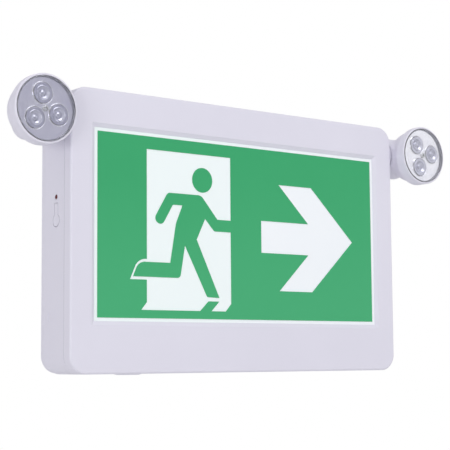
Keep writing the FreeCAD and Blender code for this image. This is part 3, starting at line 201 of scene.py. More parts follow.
class SharedEffects:
    """Node groups that several finishes place with their own values."""

    # Scale of the sheen's or haze's noise over that of the strokes or sink marks.
    HAZE_SHARE = 3.1
    BRUSH_SHEEN_SHARE = 0.2
    SWIRL_SHEEN_SHARE = 0.22

    def __init__(self) -> None:
        """Build the groups once."""
        self.tone = self._tone()
        self.grain = self._grain()
        self.brush = self._brush()
        self.swirl = self._swirl()

    @staticmethod
    def _open(name: str, inputs: list[tuple[str, str]],
              outputs: list[tuple[str, str]]) -> tuple[Nodes, bpy.types.Node, bpy.types.Node]:
        """Make an empty group with named sockets.

        Args:
            name: name of the group.
            inputs: names and socket types.
            outputs: names and socket types.

        Returns:
            The node maker, the group's input node and its output node.
        """
        tree = bpy.data.node_groups.new(name, "ShaderNodeTree")
        for label, kind in inputs:
            tree.interface.new_socket(name=label, in_out="INPUT", socket_type=kind)
        for label, kind in outputs:
            tree.interface.new_socket(name=label, in_out="OUTPUT", socket_type=kind)
        nodes = Nodes(tree)
        return nodes, nodes.add("NodeGroupInput"), nodes.add("NodeGroupOutput")

    def _tone(self) -> bpy.types.NodeTree:
        """Broad, faint wandering between two colours, as in moulded or printed stock."""
        nodes, given, result = self._open(
            "Tone", [("Vector", "NodeSocketVector"), ("Scale", "NodeSocketFloat"),
                     ("First", "NodeSocketColor"), ("Second", "NodeSocketColor")],
            [("Colour", "NodeSocketColor")])
        cloud = nodes.noise(given.outputs["Vector"], given.outputs["Scale"], 4.0, 0.55)
        share = nodes.fit(cloud, NOISE_SPAN, (0.0, 1.0))
        colour = nodes.mix(share, given.outputs["First"], given.outputs["Second"])
        nodes.feed(result, Colour=colour)
        return nodes.tree

    def _grain(self) -> bpy.types.NodeTree:
        """Fine spark-eroded skin with slow sink marks; gives a height and a haze mask."""
        nodes, given, result = self._open(
            "Grain", [("Vector", "NodeSocketVector"), ("Grain Scale", "NodeSocketFloat"),
                      ("Wave Scale", "NodeSocketFloat"), ("Wave Share", "NodeSocketFloat")],
            [("Height", "NodeSocketFloat"), ("Haze", "NodeSocketFloat")])
        vector = given.outputs["Vector"]
        fine = nodes.noise(vector, given.outputs["Grain Scale"], 3.0, 0.6)
        slow = nodes.noise(vector, given.outputs["Wave Scale"], 1.0, 0.4)
        lift = nodes.math("MULTIPLY", slow, given.outputs["Wave Share"])
        height = nodes.math("ADD", fine, lift)
        patches = nodes.math("MULTIPLY", given.outputs["Wave Scale"], self.HAZE_SHARE)
        nodes.feed(result, Height=height, Haze=nodes.noise(vector, patches, 4.0, 0.6))
        return nodes.tree

    def _brush(self) -> bpy.types.NodeTree:
        """Fine parallel strokes along the direction in which the vector is squeezed."""
        nodes, given, result = self._open(
            "Brush", [("Vector", "NodeSocketVector"), ("Scale", "NodeSocketFloat")],
            [("Height", "NodeSocketFloat"), ("Sheen", "NodeSocketFloat")])
        strokes = nodes.noise(given.outputs["Vector"], given.outputs["Scale"], 5.0, 0.7)
        broad = nodes.math("MULTIPLY", given.outputs["Scale"], self.BRUSH_SHEEN_SHARE)
        nodes.feed(result, Height=strokes,
                   Sheen=nodes.noise(given.outputs["Vector"], broad, 2.0, 0.5))
        return nodes.tree

    def _swirl(self) -> bpy.types.NodeTree:
        """Strokes that run in circles round a centre in the XZ plane, on both sides of X = 0.

        The noise is read at (distance from the centre, small share of the direction), so
        it changes fast outwards and slowly round the circle.
        """
        nodes, given, result = self._open(
            "Swirl", [("Vector", "NodeSocketVector"), ("Centre", "NodeSocketVector"),
                      ("Scale", "NodeSocketFloat"), ("Round", "NodeSocketFloat")],
            [("Height", "NodeSocketFloat"), ("Sheen", "NodeSocketFloat")])
        either_side = nodes.feed(nodes.add("VectorMath", operation="ABSOLUTE"),
                                 _0=given.outputs["Vector"]).outputs[0]
        arm = nodes.feed(nodes.add("VectorMath", operation="SUBTRACT"), _0=either_side,
                         _1=given.outputs["Centre"]).outputs[0]
        flat = nodes.feed(nodes.add("VectorMath", operation="MULTIPLY"), _0=arm,
                          _1=(1.0, 0.0, 1.0)).outputs[0]
        reach = nodes.feed(nodes.add("VectorMath", operation="LENGTH"), _0=flat).outputs["Value"]
        heading = nodes.feed(nodes.add("VectorMath", operation="NORMALIZE"), _0=flat).outputs[0]
        drift = nodes.feed(nodes.add("VectorMath", operation="SCALE"), _0=heading,
                           Scale=given.outputs["Round"]).outputs[0]
        place = nodes.feed(nodes.add("CombineXYZ"), Y=reach).outputs[0]
        spot = nodes.feed(nodes.add("VectorMath", operation="ADD"), _0=drift, _1=place).outputs[0]
        fine = nodes.noise(spot, given.outputs["Scale"], 4.0, 0.6)
        broad = nodes.math("MULTIPLY", given.outputs["Scale"], self.SWIRL_SHEEN_SHARE)
        nodes.feed(result, Height=fine, Sheen=nodes.noise(spot, broad, 3.0, 0.5))
        return nodes.tree


# ---------------------------------------------------------------- finishes

def open_material(name: str) -> tuple[Nodes, bpy.types.Node]:
    """Make an empty node material.

    Args:
        name: name of the material.

    Returns:
        The node maker and the Principled shader, already linked to the output.
    """
    material = bpy.data.materials.new(name)
    material.use_nodes = True
    material.node_tree.nodes.clear()
    nodes = Nodes(material.node_tree)
    shader = nodes.add("BsdfPrincipled")
    output = nodes.add("OutputMaterial")
    nodes.tree.links.new(shader.outputs[0], output.inputs[0])
    return nodes, shader


def material_of(nodes: Nodes) -> bpy.types.Material:
    """The material that owns a node tree."""
    return next(m for m in bpy.data.materials if m.node_tree == nodes.tree)


@dataclass(frozen=True)
class Moulded:
    """Moulded or printed plastic: faint tone, satin haze and a fine grain."""

    name: str
    colour: Colour
    second: Colour
    roughness: Span = (0.42, 0.54)
    grain_depth: float = 0.012 * MM
    grain_scale: float = 2400.0
    tone_scale: float = 9.0
    wave_scale: float = 22.0
    wave_share: float = 1.5
    ior: float = 1.46
    specular: float = 0.5

    def build(self, shared: SharedEffects) -> bpy.types.Material:
        """Make the material.

        Args:
            shared: the shared node groups.

        Returns:
            The new material.
        """
        nodes, shader = open_material(self.name)
        point = nodes.object_point()
        self.paint(nodes, shader, shared, point)
        grain = nodes.group(shared.grain, Vector=point, Grain_Scale=self.grain_scale,
                            Wave_Scale=self.wave_scale, Wave_Share=self.wave_share)
        rough = nodes.fit(grain.outputs["Haze"], NOISE_SPAN, self.roughness)
        bump = nodes.feed(nodes.add("Bump"), Strength=1.0, Distance=self.grain_depth,
                          Height=grain.outputs["Height"])
        nodes.feed(shader, Roughness=rough, IOR=self.ior, Specular_IOR_Level=self.specular,
                   Normal=bump.outputs[0])
        return material_of(nodes)

    def paint(self, nodes: Nodes, shader: bpy.types.Node, shared: SharedEffects,
              point: bpy.types.NodeSocket) -> None:
        """Link the base colour.

        Args:
            nodes: node maker of the material.
            shader: its Principled shader.
            shared: the shared node groups.
            point: object coordinates.
        """
        tone = nodes.group(shared.tone, Vector=point, Scale=self.tone_scale,
                           First=self.colour, Second=self.second)
        nodes.feed(shader, Base_Color=tone.outputs["Colour"])


@dataclass(frozen=True)
class SignInk(Moulded):
    """Printed film, a little lighter towards its lower edge."""

    low: float = -0.061
    high: float = 0.071
    lift: Colour = (0.075, 0.44, 0.2)
    lift_share: float = 0.6

    def paint(self, nodes: Nodes, shader: bpy.types.Node, shared: SharedEffects,
              point: bpy.types.NodeSocket) -> None:
        """Link the base colour: the ink's tone, blended with a lighter one low down."""
        tone = nodes.group(shared.tone, Vector=point, Scale=self.tone_scale,
                           First=self.colour, Second=self.second)
        height = nodes.feed(nodes.add("SeparateXYZ"), Vector=point).outputs[2]
        share = nodes.fit(height, (self.low, self.high), (self.lift_share, 0.0), smooth=True)
        nodes.feed(shader, Base_Color=nodes.mix(share, tone.outputs["Colour"], self.lift))


@dataclass(frozen=True)
class Diffuser(Moulded):
    """Milky panel; behind the running figure's door it takes a faint cast of the ink."""

    cast: Colour = (0.895, 0.965, 0.965)
    door_side: float = -0.03
    arrow_side: float = 0.012

    def paint(self, nodes: Nodes, shader: bpy.types.Node, shared: SharedEffects,
              point: bpy.types.NodeSocket) -> None:
        """Link the base colour: the panel's tone, with the cast left of the middle."""
        tone = nodes.group(shared.tone, Vector=point, Scale=self.tone_scale,
                           First=self.colour, Second=self.second)
        across = nodes.feed(nodes.add("SeparateXYZ"), Vector=point).outputs[0]
        share = nodes.fit(across, (self.door_side, self.arrow_side), (1.0, 0.0), smooth=True)
        nodes.feed(shader, Base_Color=nodes.mix(share, tone.outputs["Colour"], self.cast))


@dataclass(frozen=True)
class CircuitBoard(Moulded):
    """Solder mask over copper tracks, with a sparse grid of bright pads."""

    track: Colour = (0.03, 0.42, 0.17)
    pad: Colour = (0.75, 0.72, 0.6)
    track_scale: float = 190.0
    track_edge: Span = (0.06, 0.1)
    pad_scale: float = 260.0
    pad_edge: Span = (0.18, 0.22)

    def paint(self, nodes: Nodes, shader: bpy.types.Node, shared: SharedEffects,
              point: bpy.types.NodeSocket) -> None:
        """Link the base colour: mask tone, track cells and round pads."""
        tone = nodes.group(shared.tone, Vector=point, Scale=self.tone_scale,
                           First=self.colour, Second=self.second)
        cells = nodes.feed(nodes.add("TexVoronoi", feature="DISTANCE_TO_EDGE",
                                     distance="EUCLIDEAN"),
                           Vector=point, Scale=self.track_scale, Randomness=0.35)
        on_track = nodes.fit(cells.outputs["Distance"], self.track_edge, (1.0, 0.0))
        traced = nodes.mix(on_track, tone.outputs["Colour"], self.track)
        spots = nodes.feed(nodes.add("TexVoronoi", feature="F1"), Vector=point,
                           Scale=self.pad_scale, Randomness=0.15)
        on_pad = nodes.fit(spots.outputs["Distance"], self.pad_edge, (1.0, 0.0))
        nodes.feed(shader, Base_Color=nodes.mix(on_pad, traced, self.pad))


@dataclass(frozen=True)
class Transformer(Moulded):
    """Stacked steel sheets, with a taped winding where the piece stands out of the core."""

    tape: Colour = (0.75, 0.52, 0.12)
    core_low: float = -0.0095
    core_high: float = 0.0175
    core_front: float = -0.0222
    sheet_scale: float = 420.0
    sheet_gap: Colour = (0.02, 0.02, 0.02)

    def paint(self, nodes: Nodes, shader: bpy.types.Node, shared: SharedEffects,
              point: bpy.types.NodeSocket) -> None:
        """Link the base colour: sheets across Y, tape above, below and before the core."""
        tone = nodes.group(shared.tone, Vector=point, Scale=self.tone_scale,
                           First=self.colour, Second=self.second)
        split = nodes.feed(nodes.add("SeparateXYZ"), Vector=point).outputs
        wave = nodes.feed(nodes.add("TexWave", wave_type="BANDS", bands_direction="Y"),
                          Vector=point, Scale=self.sheet_scale, Distortion=0.0)
        gaps = nodes.fit(wave.outputs["Fac"], (0.2, 0.8), (0.0, 0.5))
        sheets = nodes.mix(gaps, tone.outputs["Colour"], self.sheet_gap)
        above = nodes.math("GREATER_THAN", split[2], self.core_high)
        below = nodes.math("LESS_THAN", split[2], self.core_low)
        before = nodes.math("LESS_THAN", split[1], self.core_front)
        wound = nodes.math("MAXIMUM", nodes.math("MAXIMUM", above, below), before)
        nodes.feed(shader, Base_Color=nodes.mix(wound, sheets, self.tape))


@dataclass(frozen=True)
class Metal:
    """Plated or metallised surface with fine strokes."""

    name: str
    colour: Colour
    second: Colour
    roughness: Span
    squeeze: Triple = UNSTRETCHED
    tone_scale: float = 60.0
    stroke_scale: float = 900.0
    stroke_depth: float = 0.004 * MM
    metallic: float = 1.0

    def build(self, shared: SharedEffects) -> bpy.types.Material:
        """Make the material.

        Args:
            shared: the shared node groups.

        Returns:
            The new material.
        """
        nodes, shader = open_material(self.name)
        point = nodes.object_point(self.squeeze)
        tone = nodes.group(shared.tone, Vector=point, Scale=self.tone_scale,
                           First=self.colour, Second=self.second)
        strokes = self.strokes(nodes, shared, point)
        rough = nodes.fit(strokes.outputs["Sheen"], NOISE_SPAN, self.roughness)
        bump = nodes.feed(nodes.add("Bump"), Strength=1.0, Distance=self.stroke_depth,
                          Height=strokes.outputs["Height"])
        nodes.feed(shader, Base_Color=tone.outputs["Colour"], Metallic=self.metallic,
                   Roughness=rough, Normal=bump.outputs[0])
        return material_of(nodes)

    def strokes(self, nodes: Nodes, shared: SharedEffects,
                point: bpy.types.NodeSocket) -> bpy.types.Node:
        """Place the group that gives the strokes.

        Args:
            nodes: node maker of the material.
            shared: the shared node groups.
            point: object coordinates.

        Returns:
            The placed group, with outputs Height and Sheen.
        """
        return nodes.group(shared.brush, Vector=point, Scale=self.stroke_scale)


@dataclass(frozen=True)
class Metallised(Metal):
    """Vacuum-coated plastic whose strokes run in circles round the lamp's axis."""

    centre: Triple = (0.1805, 0.0, 0.0784)
    round_share: float = 0.004

    def strokes(self, nodes: Nodes, shared: SharedEffects,
                point: bpy.types.NodeSocket) -> bpy.types.Node:
        """Place the group of circular strokes; inputs and outputs as for Metal."""
        return nodes.group(shared.swirl, Vector=point, Centre=self.centre,
                           Scale=self.stroke_scale, Round=self.round_share)


@dataclass(frozen=True)
class Clear:
    """Clear or tinted plastic that light passes through."""

    name: str
    colour: Colour
    second: Colour
    roughness: Span = (0.0, 0.04)
    ior: float = 1.49
    tone_scale: float = 40.0
    wave_depth: float = 0.004 * MM
    wave_scale: float = 90.0
    slow_scale: float = 30.0
    haze_span: Span = (0.35, 0.75)

    def build(self, shared: SharedEffects) -> bpy.types.Material:
        """Make the material.

        Args:
            shared: the shared node groups.

        Returns:
            The new material.
        """
        nodes, shader = open_material(self.name)
        point = nodes.object_point()
        tone = nodes.group(shared.tone, Vector=point, Scale=self.tone_scale,
                           First=self.colour, Second=self.second)
        grain = nodes.group(shared.grain, Vector=point, Grain_Scale=self.wave_scale,
                            Wave_Scale=self.slow_scale, Wave_Share=1.0)
        rough = nodes.fit(grain.outputs["Haze"], self.haze_span, self.roughness)
        bump = nodes.feed(nodes.add("Bump"), Strength=1.0, Distance=self.wave_depth,
                          Height=grain.outputs["Height"])
        nodes.feed(shader, Base_Color=tone.outputs["Colour"], Roughness=rough, IOR=self.ior,
                   Transmission_Weight=1.0, Normal=bump.outputs[0])
        return material_of(nodes)


class Finishes:
    """Every finish of the light, built once."""

    WHITE = Moulded("case white", (0.73, 0.714, 0.808), (0.76, 0.744, 0.838),
                    roughness=(0.5, 0.62), specular=0.35)
    GREEN = SignInk("sign green", (0.04, 0.375, 0.15), (0.046, 0.392, 0.159),
                    roughness=(0.5, 0.58), grain_depth=0.004 * MM, wave_share=0.6,
                    specular=0.25)
    MILKY = Diffuser("diffuser white", (0.9, 0.935, 0.975), (0.925, 0.955, 0.985),
                     roughness=(0.4, 0.48), grain_depth=0.003 * MM, wave_share=0.5,
                     specular=0.3)
    TRAY = Moulded("light box white", (0.86, 0.86, 0.86), (0.9, 0.9, 0.9), (0.5, 0.65))
    MASK_WHITE = CircuitBoard("white board", (0.8, 0.81, 0.8), (0.84, 0.85, 0.84), (0.35, 0.5),
                              track=(0.7, 0.71, 0.7))
    CHIP = Moulded("LED gel", (0.52, 0.5, 0.4), (0.6, 0.58, 0.46), (0.15, 0.25))
    MASK_GREEN = CircuitBoard("green board", (0.02, 0.22, 0.09), (0.03, 0.26, 0.11), (0.3, 0.45))
    CORE = Transformer("transformer", (0.12, 0.12, 0.13), (0.17, 0.17, 0.18), (0.35, 0.5))
    BLOCK = Moulded("terminal block", (0.28, 0.31, 0.33), (0.33, 0.36, 0.38), (0.45, 0.6))
    CAN = Moulded("capacitor sleeve", (0.03, 0.03, 0.06), (0.05, 0.05, 0.08), (0.2, 0.3))
    SLEEVE = Moulded("battery sleeve", (0.06, 0.2, 0.5), (0.08, 0.24, 0.55), (0.18, 0.3),
                     wave_scale=120.0, grain_depth=0.05 * MM)
    STEEL = Metal("zinc plated steel", (0.55, 0.56, 0.58), (0.66, 0.66, 0.66), (0.25, 0.4),
                  squeeze=(0.2, 1.0, 1.0))
    INNER = Moulded("inner nylon", (0.72, 0.72, 0.7), (0.78, 0.78, 0.76), (0.5, 0.6))
    BLACK = Moulded("switch black", (0.03, 0.03, 0.03), (0.05, 0.05, 0.05), (0.4, 0.55))
    RED = Moulded("indicator red", (0.09, 0.008, 0.012), (0.13, 0.012, 0.016), (0.12, 0.2))
    BRIGHT = Metallised("metallised plastic", (0.85, 0.845, 0.9), (0.94, 0.935, 0.97),
                        (0.1, 0.2), tone_scale=120.0, stroke_scale=520.0,
                        stroke_depth=0.14 * MM)
    # Grey of the lens seal, darkened partly as painted shade of the step at the reflector's edge.
    SEAL = Moulded("lens seal", (0.38, 0.38, 0.45), (0.44, 0.44, 0.51), (0.35, 0.5))
    # Painted shadow: near-black band that stands for the shade in the gap between housing and
    # cover.
    SHADE = Moulded("seam shade", (0.09, 0.09, 0.105), (0.12, 0.12, 0.135), (0.7, 0.8))
    OPTIC = Metal("collimator acrylic", (0.6, 0.6, 0.7), (0.66, 0.66, 0.76), (0.06, 0.14),
                  stroke_scale=300.0, stroke_depth=0.003 * MM, metallic=0.55)
    LENS = Clear("lens acrylic", (0.96, 0.965, 0.99), (0.985, 0.99, 1.0))

    def __init__(self, shared: SharedEffects) -> None:
        """Build the materials.

        Args:
            shared: the shared node groups.
        """
        self.made = {key: finish.build(shared) for key, finish in vars(Finishes).items()
                     if hasattr(finish, "build")}

    def __getitem__(self, key: str) -> bpy.types.Material:
        """The material with that key."""
        return self.made[key]


# ---------------------------------------------------------------- surfaces

@dataclass
class Surface:
    """Points and faces of one or more closed shells."""

    points: np.ndarray
    quads: np.ndarray
    fans: np.ndarray

    def moved(self, step: Triple) -> "Surface":
        """The same shells, moved by a step."""
        return Surface(self.points + np.asarray(step), self.quads, self.fans)

    @staticmethod
    def joined(parts: list["Surface"]) -> "Surface":
        """Several shells as one surface, their face indices shifted in turn."""
        starts = np.cumsum([0] + [len(part.points) for part in parts[:-1]])
        return Surface(np.vstack([part.points for part in parts]),
                       np.vstack([part.quads + s for part, s in zip(parts, starts)]),
                       np.vstack([part.fans + s for part, s in zip(parts, starts)]))


def arc(centre: Span, radius: float, start: float, stop: float, steps: int = 6) -> np.ndarray:
    """Points of a circular arc in the profile plane: centre + radius (cos a, sin a).

    Args:
        centre: radius and height of the arc's centre.
        radius: its radius.
        start: first angle, degrees.
        stop: last angle, degrees.
        steps: number of points.

    Returns:
        An array of radius and height pairs.
    """
    turn = np.radians(np.linspace(start, stop, steps))
    return np.column_stack([centre[0] + radius * np.cos(turn),
                            centre[1] + radius * np.sin(turn)])


def run(*points: Span, steps: int = 2) -> np.ndarray:
    """Straight runs through profile points, each run divided into equal steps."""
    knots = np.asarray(points, float)
    place = np.linspace(0, len(knots) - 1, (len(knots) - 1) * (steps - 1) + 1)
    whole = np.arange(len(knots))
    return np.column_stack([np.interp(place, whole, knots[:, i]) for i in (0, 1)])


def grid_faces(rows: int, columns: int, closed: bool) -> np.ndarray:
    """Four-sided faces of a grid that is closed round its columns.

    Args:
        rows: number of rows.
        columns: number of points in a row.
        closed: the last row joins the first too.

    Returns:
        Point indices of each face.
    """
    row, column = np.meshgrid(np.arange(rows if closed else rows - 1), np.arange(columns),
                              indexing="ij")
    ahead = (row + 1) % rows
    beside = (column + 1) % columns
    return np.stack([row * columns + column, row * columns + beside,
                     ahead * columns + beside, ahead * columns + column],
                    axis=-1).reshape(-1, 4)


def revolve(profile: np.ndarray, turns: int, ring: bool = False) -> Surface:
    """Turn a profile about the height axis.

    The point for profile row (r, h) and angle a is (r cos a, r sin a, h).  The profile
    runs from the back pole outwards, forwards and in to the front pole, or round a
    closed loop for a ring, so that the faces point out.

    Args:
        profile: radius and height pairs.
        turns: number of angular steps.
        ring: the profile is a closed loop clear of the axis.

    Returns:
        The closed surface.
    """
    angle = np.linspace(0, 2 * np.pi, turns, endpoint=False)
    rims = profile if ring else profile[1:-1]
    radius, height = rims[:, :1], rims[:, 1:]
    grid = np.stack([radius * np.cos(angle), radius * np.sin(angle),
                     height + 0 * angle], axis=-1)
    points = grid.reshape(-1, 3)
    quads = grid_faces(len(rims), turns, closed=ring)
    if ring:
        return Surface(points, quads, np.empty((0, 3), int))
    count = len(points)
    poles = np.array([[0, 0, profile[0, 1]], [0, 0, profile[-1, 1]]])
    rim = np.arange(turns)
    after = (rim + 1) % turns
    top = (len(rims) - 1) * turns
    fans = np.vstack([np.column_stack([after, rim, np.full(turns, count)]),
                      np.column_stack([top + rim, top + after, np.full(turns, count + 1)])])
    return Surface(np.vstack([points, poles]), quads, fans)


def make_object(name: str, surface: Surface, finish: bpy.types.Material,
                crease: float = 35.0) -> bpy.types.Object:
    """Put a surface into a mesh object at the origin, smooth but for its creases.

    Args:
        name: name of the piece.
        surface: its shells, in the model's frame.
        finish: its material.
        crease: edges sharper than this many degrees stay sharp.

    Returns:
        The new object.
    """
    mesh = bpy.data.meshes.new(name)
    mesh.from_pydata(surface.points.tolist(), [], surface.quads.tolist() + surface.fans.tolist())
    mesh.validate()
    mesh.polygons.foreach_set("use_smooth", np.ones(len(mesh.polygons), bool))
    mesh.set_sharp_from_angle(angle=math.radians(crease))
    mesh.materials.append(finish)
    piece = bpy.data.objects.new(name, mesh)
    bpy.context.scene.collection.objects.link(piece)
    return piece


# ---------------------------------------------------------------- sub-assemblies

@dataclass
class Case:
    """Housing, cover, sign and everything fixed inside them."""

    finishes: Finishes
    corner_radius: float = 13.0
    seam_level: float = 32.0
    groove: float = 0.2
    band_depth: float = 0.12
    band_width: float = 0.26
    corner_steps: int = 10

    DRESS = {
        "WHITE": ("back_housing", "front_cover", "test_button", "switch_plunger", "hole_plug",
                  "left_swivel_collar", "right_swivel_collar"),
        "GREEN": ("sign_film",),
        "MILKY": ("diffuser_panel",),
        "TRAY": ("light_tray",),
        "MASK_WHITE": ("led_strip_top", "led_strip_bottom"),
        "CHIP": ("sign_leds",),
        "MASK_GREEN": ("main_board", "side_board"),
        "CORE": ("transformer",),
        "BLOCK": ("terminal_block",),
        "CAN": ("capacitors",),
        "SLEEVE": ("battery_pack",),
        "STEEL": ("battery_clip", "tray_screws", "board_screws", "clip_screws",
                  "left_swivel_washer", "right_swivel_washer"),
        "BLACK": ("test_switch",),
        "RED": ("indicator_led",),
    }

    def outline(self, inset: float) -> np.ndarray:
        """Rounded outline of the box, set in by a distance.

        A corner's point at angle a is its centre + radius (cos a, sin a).

        Args:
            inset: distance inside the outer walls, mm.

        Returns:
            X and Z of the points round the box, mm.
        """
        low, high = (np.array(corner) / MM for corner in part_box("back_housing"))
        reach = (high - low)[[0, 2]] / 2 - self.corner_radius
        quarter = np.linspace(0, np.pi / 2, self.corner_steps)
        turn = (quarter + np.pi / 2 * np.arange(4)[:, None]).ravel()
        corner = np.repeat([[1, 1], [-1, 1], [-1, -1], [1, -1]], self.corner_steps, axis=0)
        round_part = np.column_stack([np.cos(turn), np.sin(turn)])
        return corner * reach + (self.corner_radius - inset) * round_part

    def add_seam_shade(self) -> bpy.types.Object:
        """Painted shadow of the gap between housing and cover: a dark flat closed band deep in
        the groove.
        """
        outer = self.outline(self.groove)
        inner = self.outline(self.groove + self.band_depth)
        half = self.band_width / 2
        rows = ((inner, -half), (outer, -half), (outer, half), (inner, half))
        points = np.vstack([np.insert(flat, 1, -self.seam_level - step, axis=1)
                            for flat, step in rows])
        faces = grid_faces(len(rows), len(inner), closed=True)
        piece = make_object("seam_shade", Surface(MM * points, faces, np.empty((0, 3), int)),
                            self.finishes["SHADE"])
        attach(piece, "case")
        return piece

    def build(self, nodes: dict[str, bpy.types.Object]) -> None:
        """Dress the case's nodes and add the painted shadow line in its seam.

        Args:
            nodes: the frame's nodes by name.
        """
        for key, names in self.DRESS.items():
            for name in names:
                dress(nodes[name], self.finishes[key])
        LOG.info("case dressed: %d nodes", sum(len(names) for names in self.DRESS.values()))
        piece = self.add_seam_shade()
        LOG.info("%s: %d faces", piece.name, len(piece.data.polygons))


def dress(node: bpy.types.Object, finish: bpy.types.Material) -> None:
    """Give every material slot of a node the same finish."""
    for slot in node.material_slots:
        slot.material = finish


@dataclass
class LampHead:
    """One swivelling lamp: neck, cup, lens, reflector and three collimators.

    Lengths are in millimetres, heights along the lamp's axis from the turning seam.
    """

    side: Side
    finishes: Finishes
    clocking: float
    optic_ring: float = 10.6
    optic_seat: float = 4.72
    optic_front: float = 6.4
    optic_radius: float = 7.2
    flank_start: float = 3.4
    well_radius: float = 1.9
    well_depth: float = 0.5
    bead_radius: float = 4.95
    bead_height: float = 0.12
    recess_depth: float = 1.1
    dome_radius: float = 2.2
    dome_rise: float = 0.9
    rim_gap: float = 0.25
    rim_round: float = 0.3
    rim_height: float = 0.2
    plate_front: float = 5.7
    lens_radius: float = 22.4
    lens_front: float = 8.3
    lens_back: float = 7.1
    lens_sag: float = 0.12
    lens_round: float = 0.3
    seal_width: float = 1.0
    shank_radius: float = 1.1
    head_radius: float = 2.1
    head_height: float = 0.95
    head_round: float = 0.6
    socket_radius: float = 0.7
    turns: int = 96

    @property
    def prefix(self) -> str:
        """Start of the lamp's node names."""
        return self.side.prefix

    def seam_centre(self) -> np.ndarray:
        """Centre of the turning seam, mm: behind the middle of the lens's face."""
        low, high = (np.array(corner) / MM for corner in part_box(self.prefix + "_lens"))
        middle = (low + high) / 2
        return np.array([middle[0], low[1] + self.lens_front, middle[2]])

    def to_model(self, surface: Surface) -> Surface:
        """Carry a surface from the lamp's frame, in mm, to the model's.

        The lamp's X stays X, its Y becomes +Z and its forward Z becomes -Y.
        """
        x, y, z = surface.points.T
        points = MM * (self.seam_centre() + np.column_stack([x, -z, y]))
        return Surface(points, surface.quads, surface.fans)

    def ring_places(self) -> list[Triple]:
        """Centres of the three collimators, evenly round the lamp's axis."""
        turns = np.radians(self.clocking + 120 * np.arange(3))
        return [(self.optic_ring * math.cos(turn), self.optic_ring * math.sin(turn), 0.0)
                for turn in turns]

    def collimator(self) -> Surface:
        """Collimator: a bulging flank from the chip's well to a flat rim with a low bead,
        then a recess with a small dome in its middle."""
        seat, front, edge = self.optic_seat, self.optic_front, self.optic_radius
        well, bead, dome = self.well_radius, self.bead_radius, self.dome_radius
        floor = front - self.recess_depth
        angle = np.linspace(0, np.pi / 2, 8)
        swell = edge - 0.3 - self.flank_start
        flank = np.column_stack([self.flank_start + swell * np.sin(angle),
                                 seat + (front - 0.35 - seat) * (1 - np.cos(angle))])
        profile = np.vstack([
            run((0, seat + self.well_depth), (well - 0.2, seat + self.well_depth - 0.05),
                (well, seat)), flank,
            arc((edge - 0.15, front - 0.15), 0.15, 0, 90, 4),
            run((edge - 0.4, front), (bead + 0.45, front), (bead + 0.25, front),
                (bead, front + self.bead_height), (bead - 0.25, front),
                (bead - 0.45, front - 0.2), (dome + 1.0, floor + 0.05)),
            run((dome + 0.3, floor - 0.05), (dome + 0.1, floor)),
            np.column_stack([dome * np.cos(angle), floor + self.dome_rise * np.sin(angle)])])
        profile[-1, 0] = 0.0
        return revolve(profile, 48)

    def add_optics(self) -> bpy.types.Object:
        """Three collimators in place of the plain ones."""
        one = self.collimator()
        surface = self.to_model(Surface.joined([one.moved(p) for p in self.ring_places()]))
        piece = make_object(self.prefix + "_collimators", surface, self.finishes["OPTIC"])
        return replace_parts(piece, self.prefix + "_optics")

    def add_reflector_rims(self) -> bpy.types.Object:
        """Raised rims of the reflector round its three holes."""
        low = self.plate_front - 0.1
        high = low + self.rim_height
        inner = self.optic_radius + self.rim_gap
        middle = inner + self.rim_round
        outer = middle + self.rim_round + 0.05
        loop = np.vstack([run((outer, low), (outer, high)),
                          arc((middle, high), self.rim_round, 0, 180, 7),
                          run((inner, high), (inner, low))])
        small = revolve(loop, 64, ring=True)
        surface = Surface.joined([small.moved(p) for p in self.ring_places()])
        return make_object(self.prefix + "_reflector_rims", self.to_model(surface),
                           self.finishes["BRIGHT"])

    def add_lens(self) -> bpy.types.Object:
        """Clear lens: a barely domed disc with a rounded edge."""
        edge, front, back = self.lens_radius, self.lens_front, self.lens_back
        bend = front - self.lens_sag - self.lens_round
        span = np.linspace(1, 0, 14)
        face = np.column_stack([(edge - 0.4) * span, front - self.lens_sag * span ** 2])
        profile = np.vstack([
            run((0, back), (edge - 0.2, back), steps=5),
            run((edge, back + 0.2), (edge, bend)),
            arc((edge - self.lens_round, bend), self.lens_round, 0, 80, 6), face])
        surface = self.to_model(revolve(profile, self.turns))
        piece = make_object(self.prefix + "_clear_lens", surface, self.finishes["LENS"])
        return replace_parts(piece, self.prefix + "_lens")

    def add_seal(self) -> bpy.types.Object:
        """Grey ring on which the lens rests, at the reflector's edge; its grey is partly the
        seal's own and partly painted shade of the step there.
        """
        low, high = self.plate_front + 0.03, self.lens_back - 0.05
        inner, outer = self.lens_radius - self.seal_width, self.lens_radius - 0.2
        loop = np.vstack([run((outer, low), (outer, high - 0.2)),
                          arc((outer - 0.2, high - 0.2), 0.2, 0, 90, 4),
                          arc((inner + 0.2, high - 0.2), 0.2, 90, 180, 4),
                          run((inner, low), (inner + 0.01, low))])
        surface = self.to_model(revolve(loop, self.turns, ring=True))
        return make_object(self.prefix + "_lens_seal", surface, self.finishes["SEAL"])

    def add_screw(self) -> bpy.types.Object:
        """Centre screw: domed head with a round socket, on a plain shank."""
        seat, shank, head = self.plate_front, self.shank_radius, self.head_radius
        top = seat + self.head_height
        bend = top - self.head_round
        socket = self.socket_radius
        profile = np.vstack([
            run((0, 0.4), (shank, 0.4), (shank, seat), (head, seat), (head, bend)),
            arc((head - self.head_round, bend), self.head_round, 0, 90, 6),
            run((socket + 0.15, top), (socket, seat + 0.4), (0, seat + 0.3))])
        surface = self.to_model(revolve(profile, 32))
        piece = make_object(self.prefix + "_head_screw", surface, self.finishes["STEEL"])
        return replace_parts(piece, self.prefix + "_centre_screw")

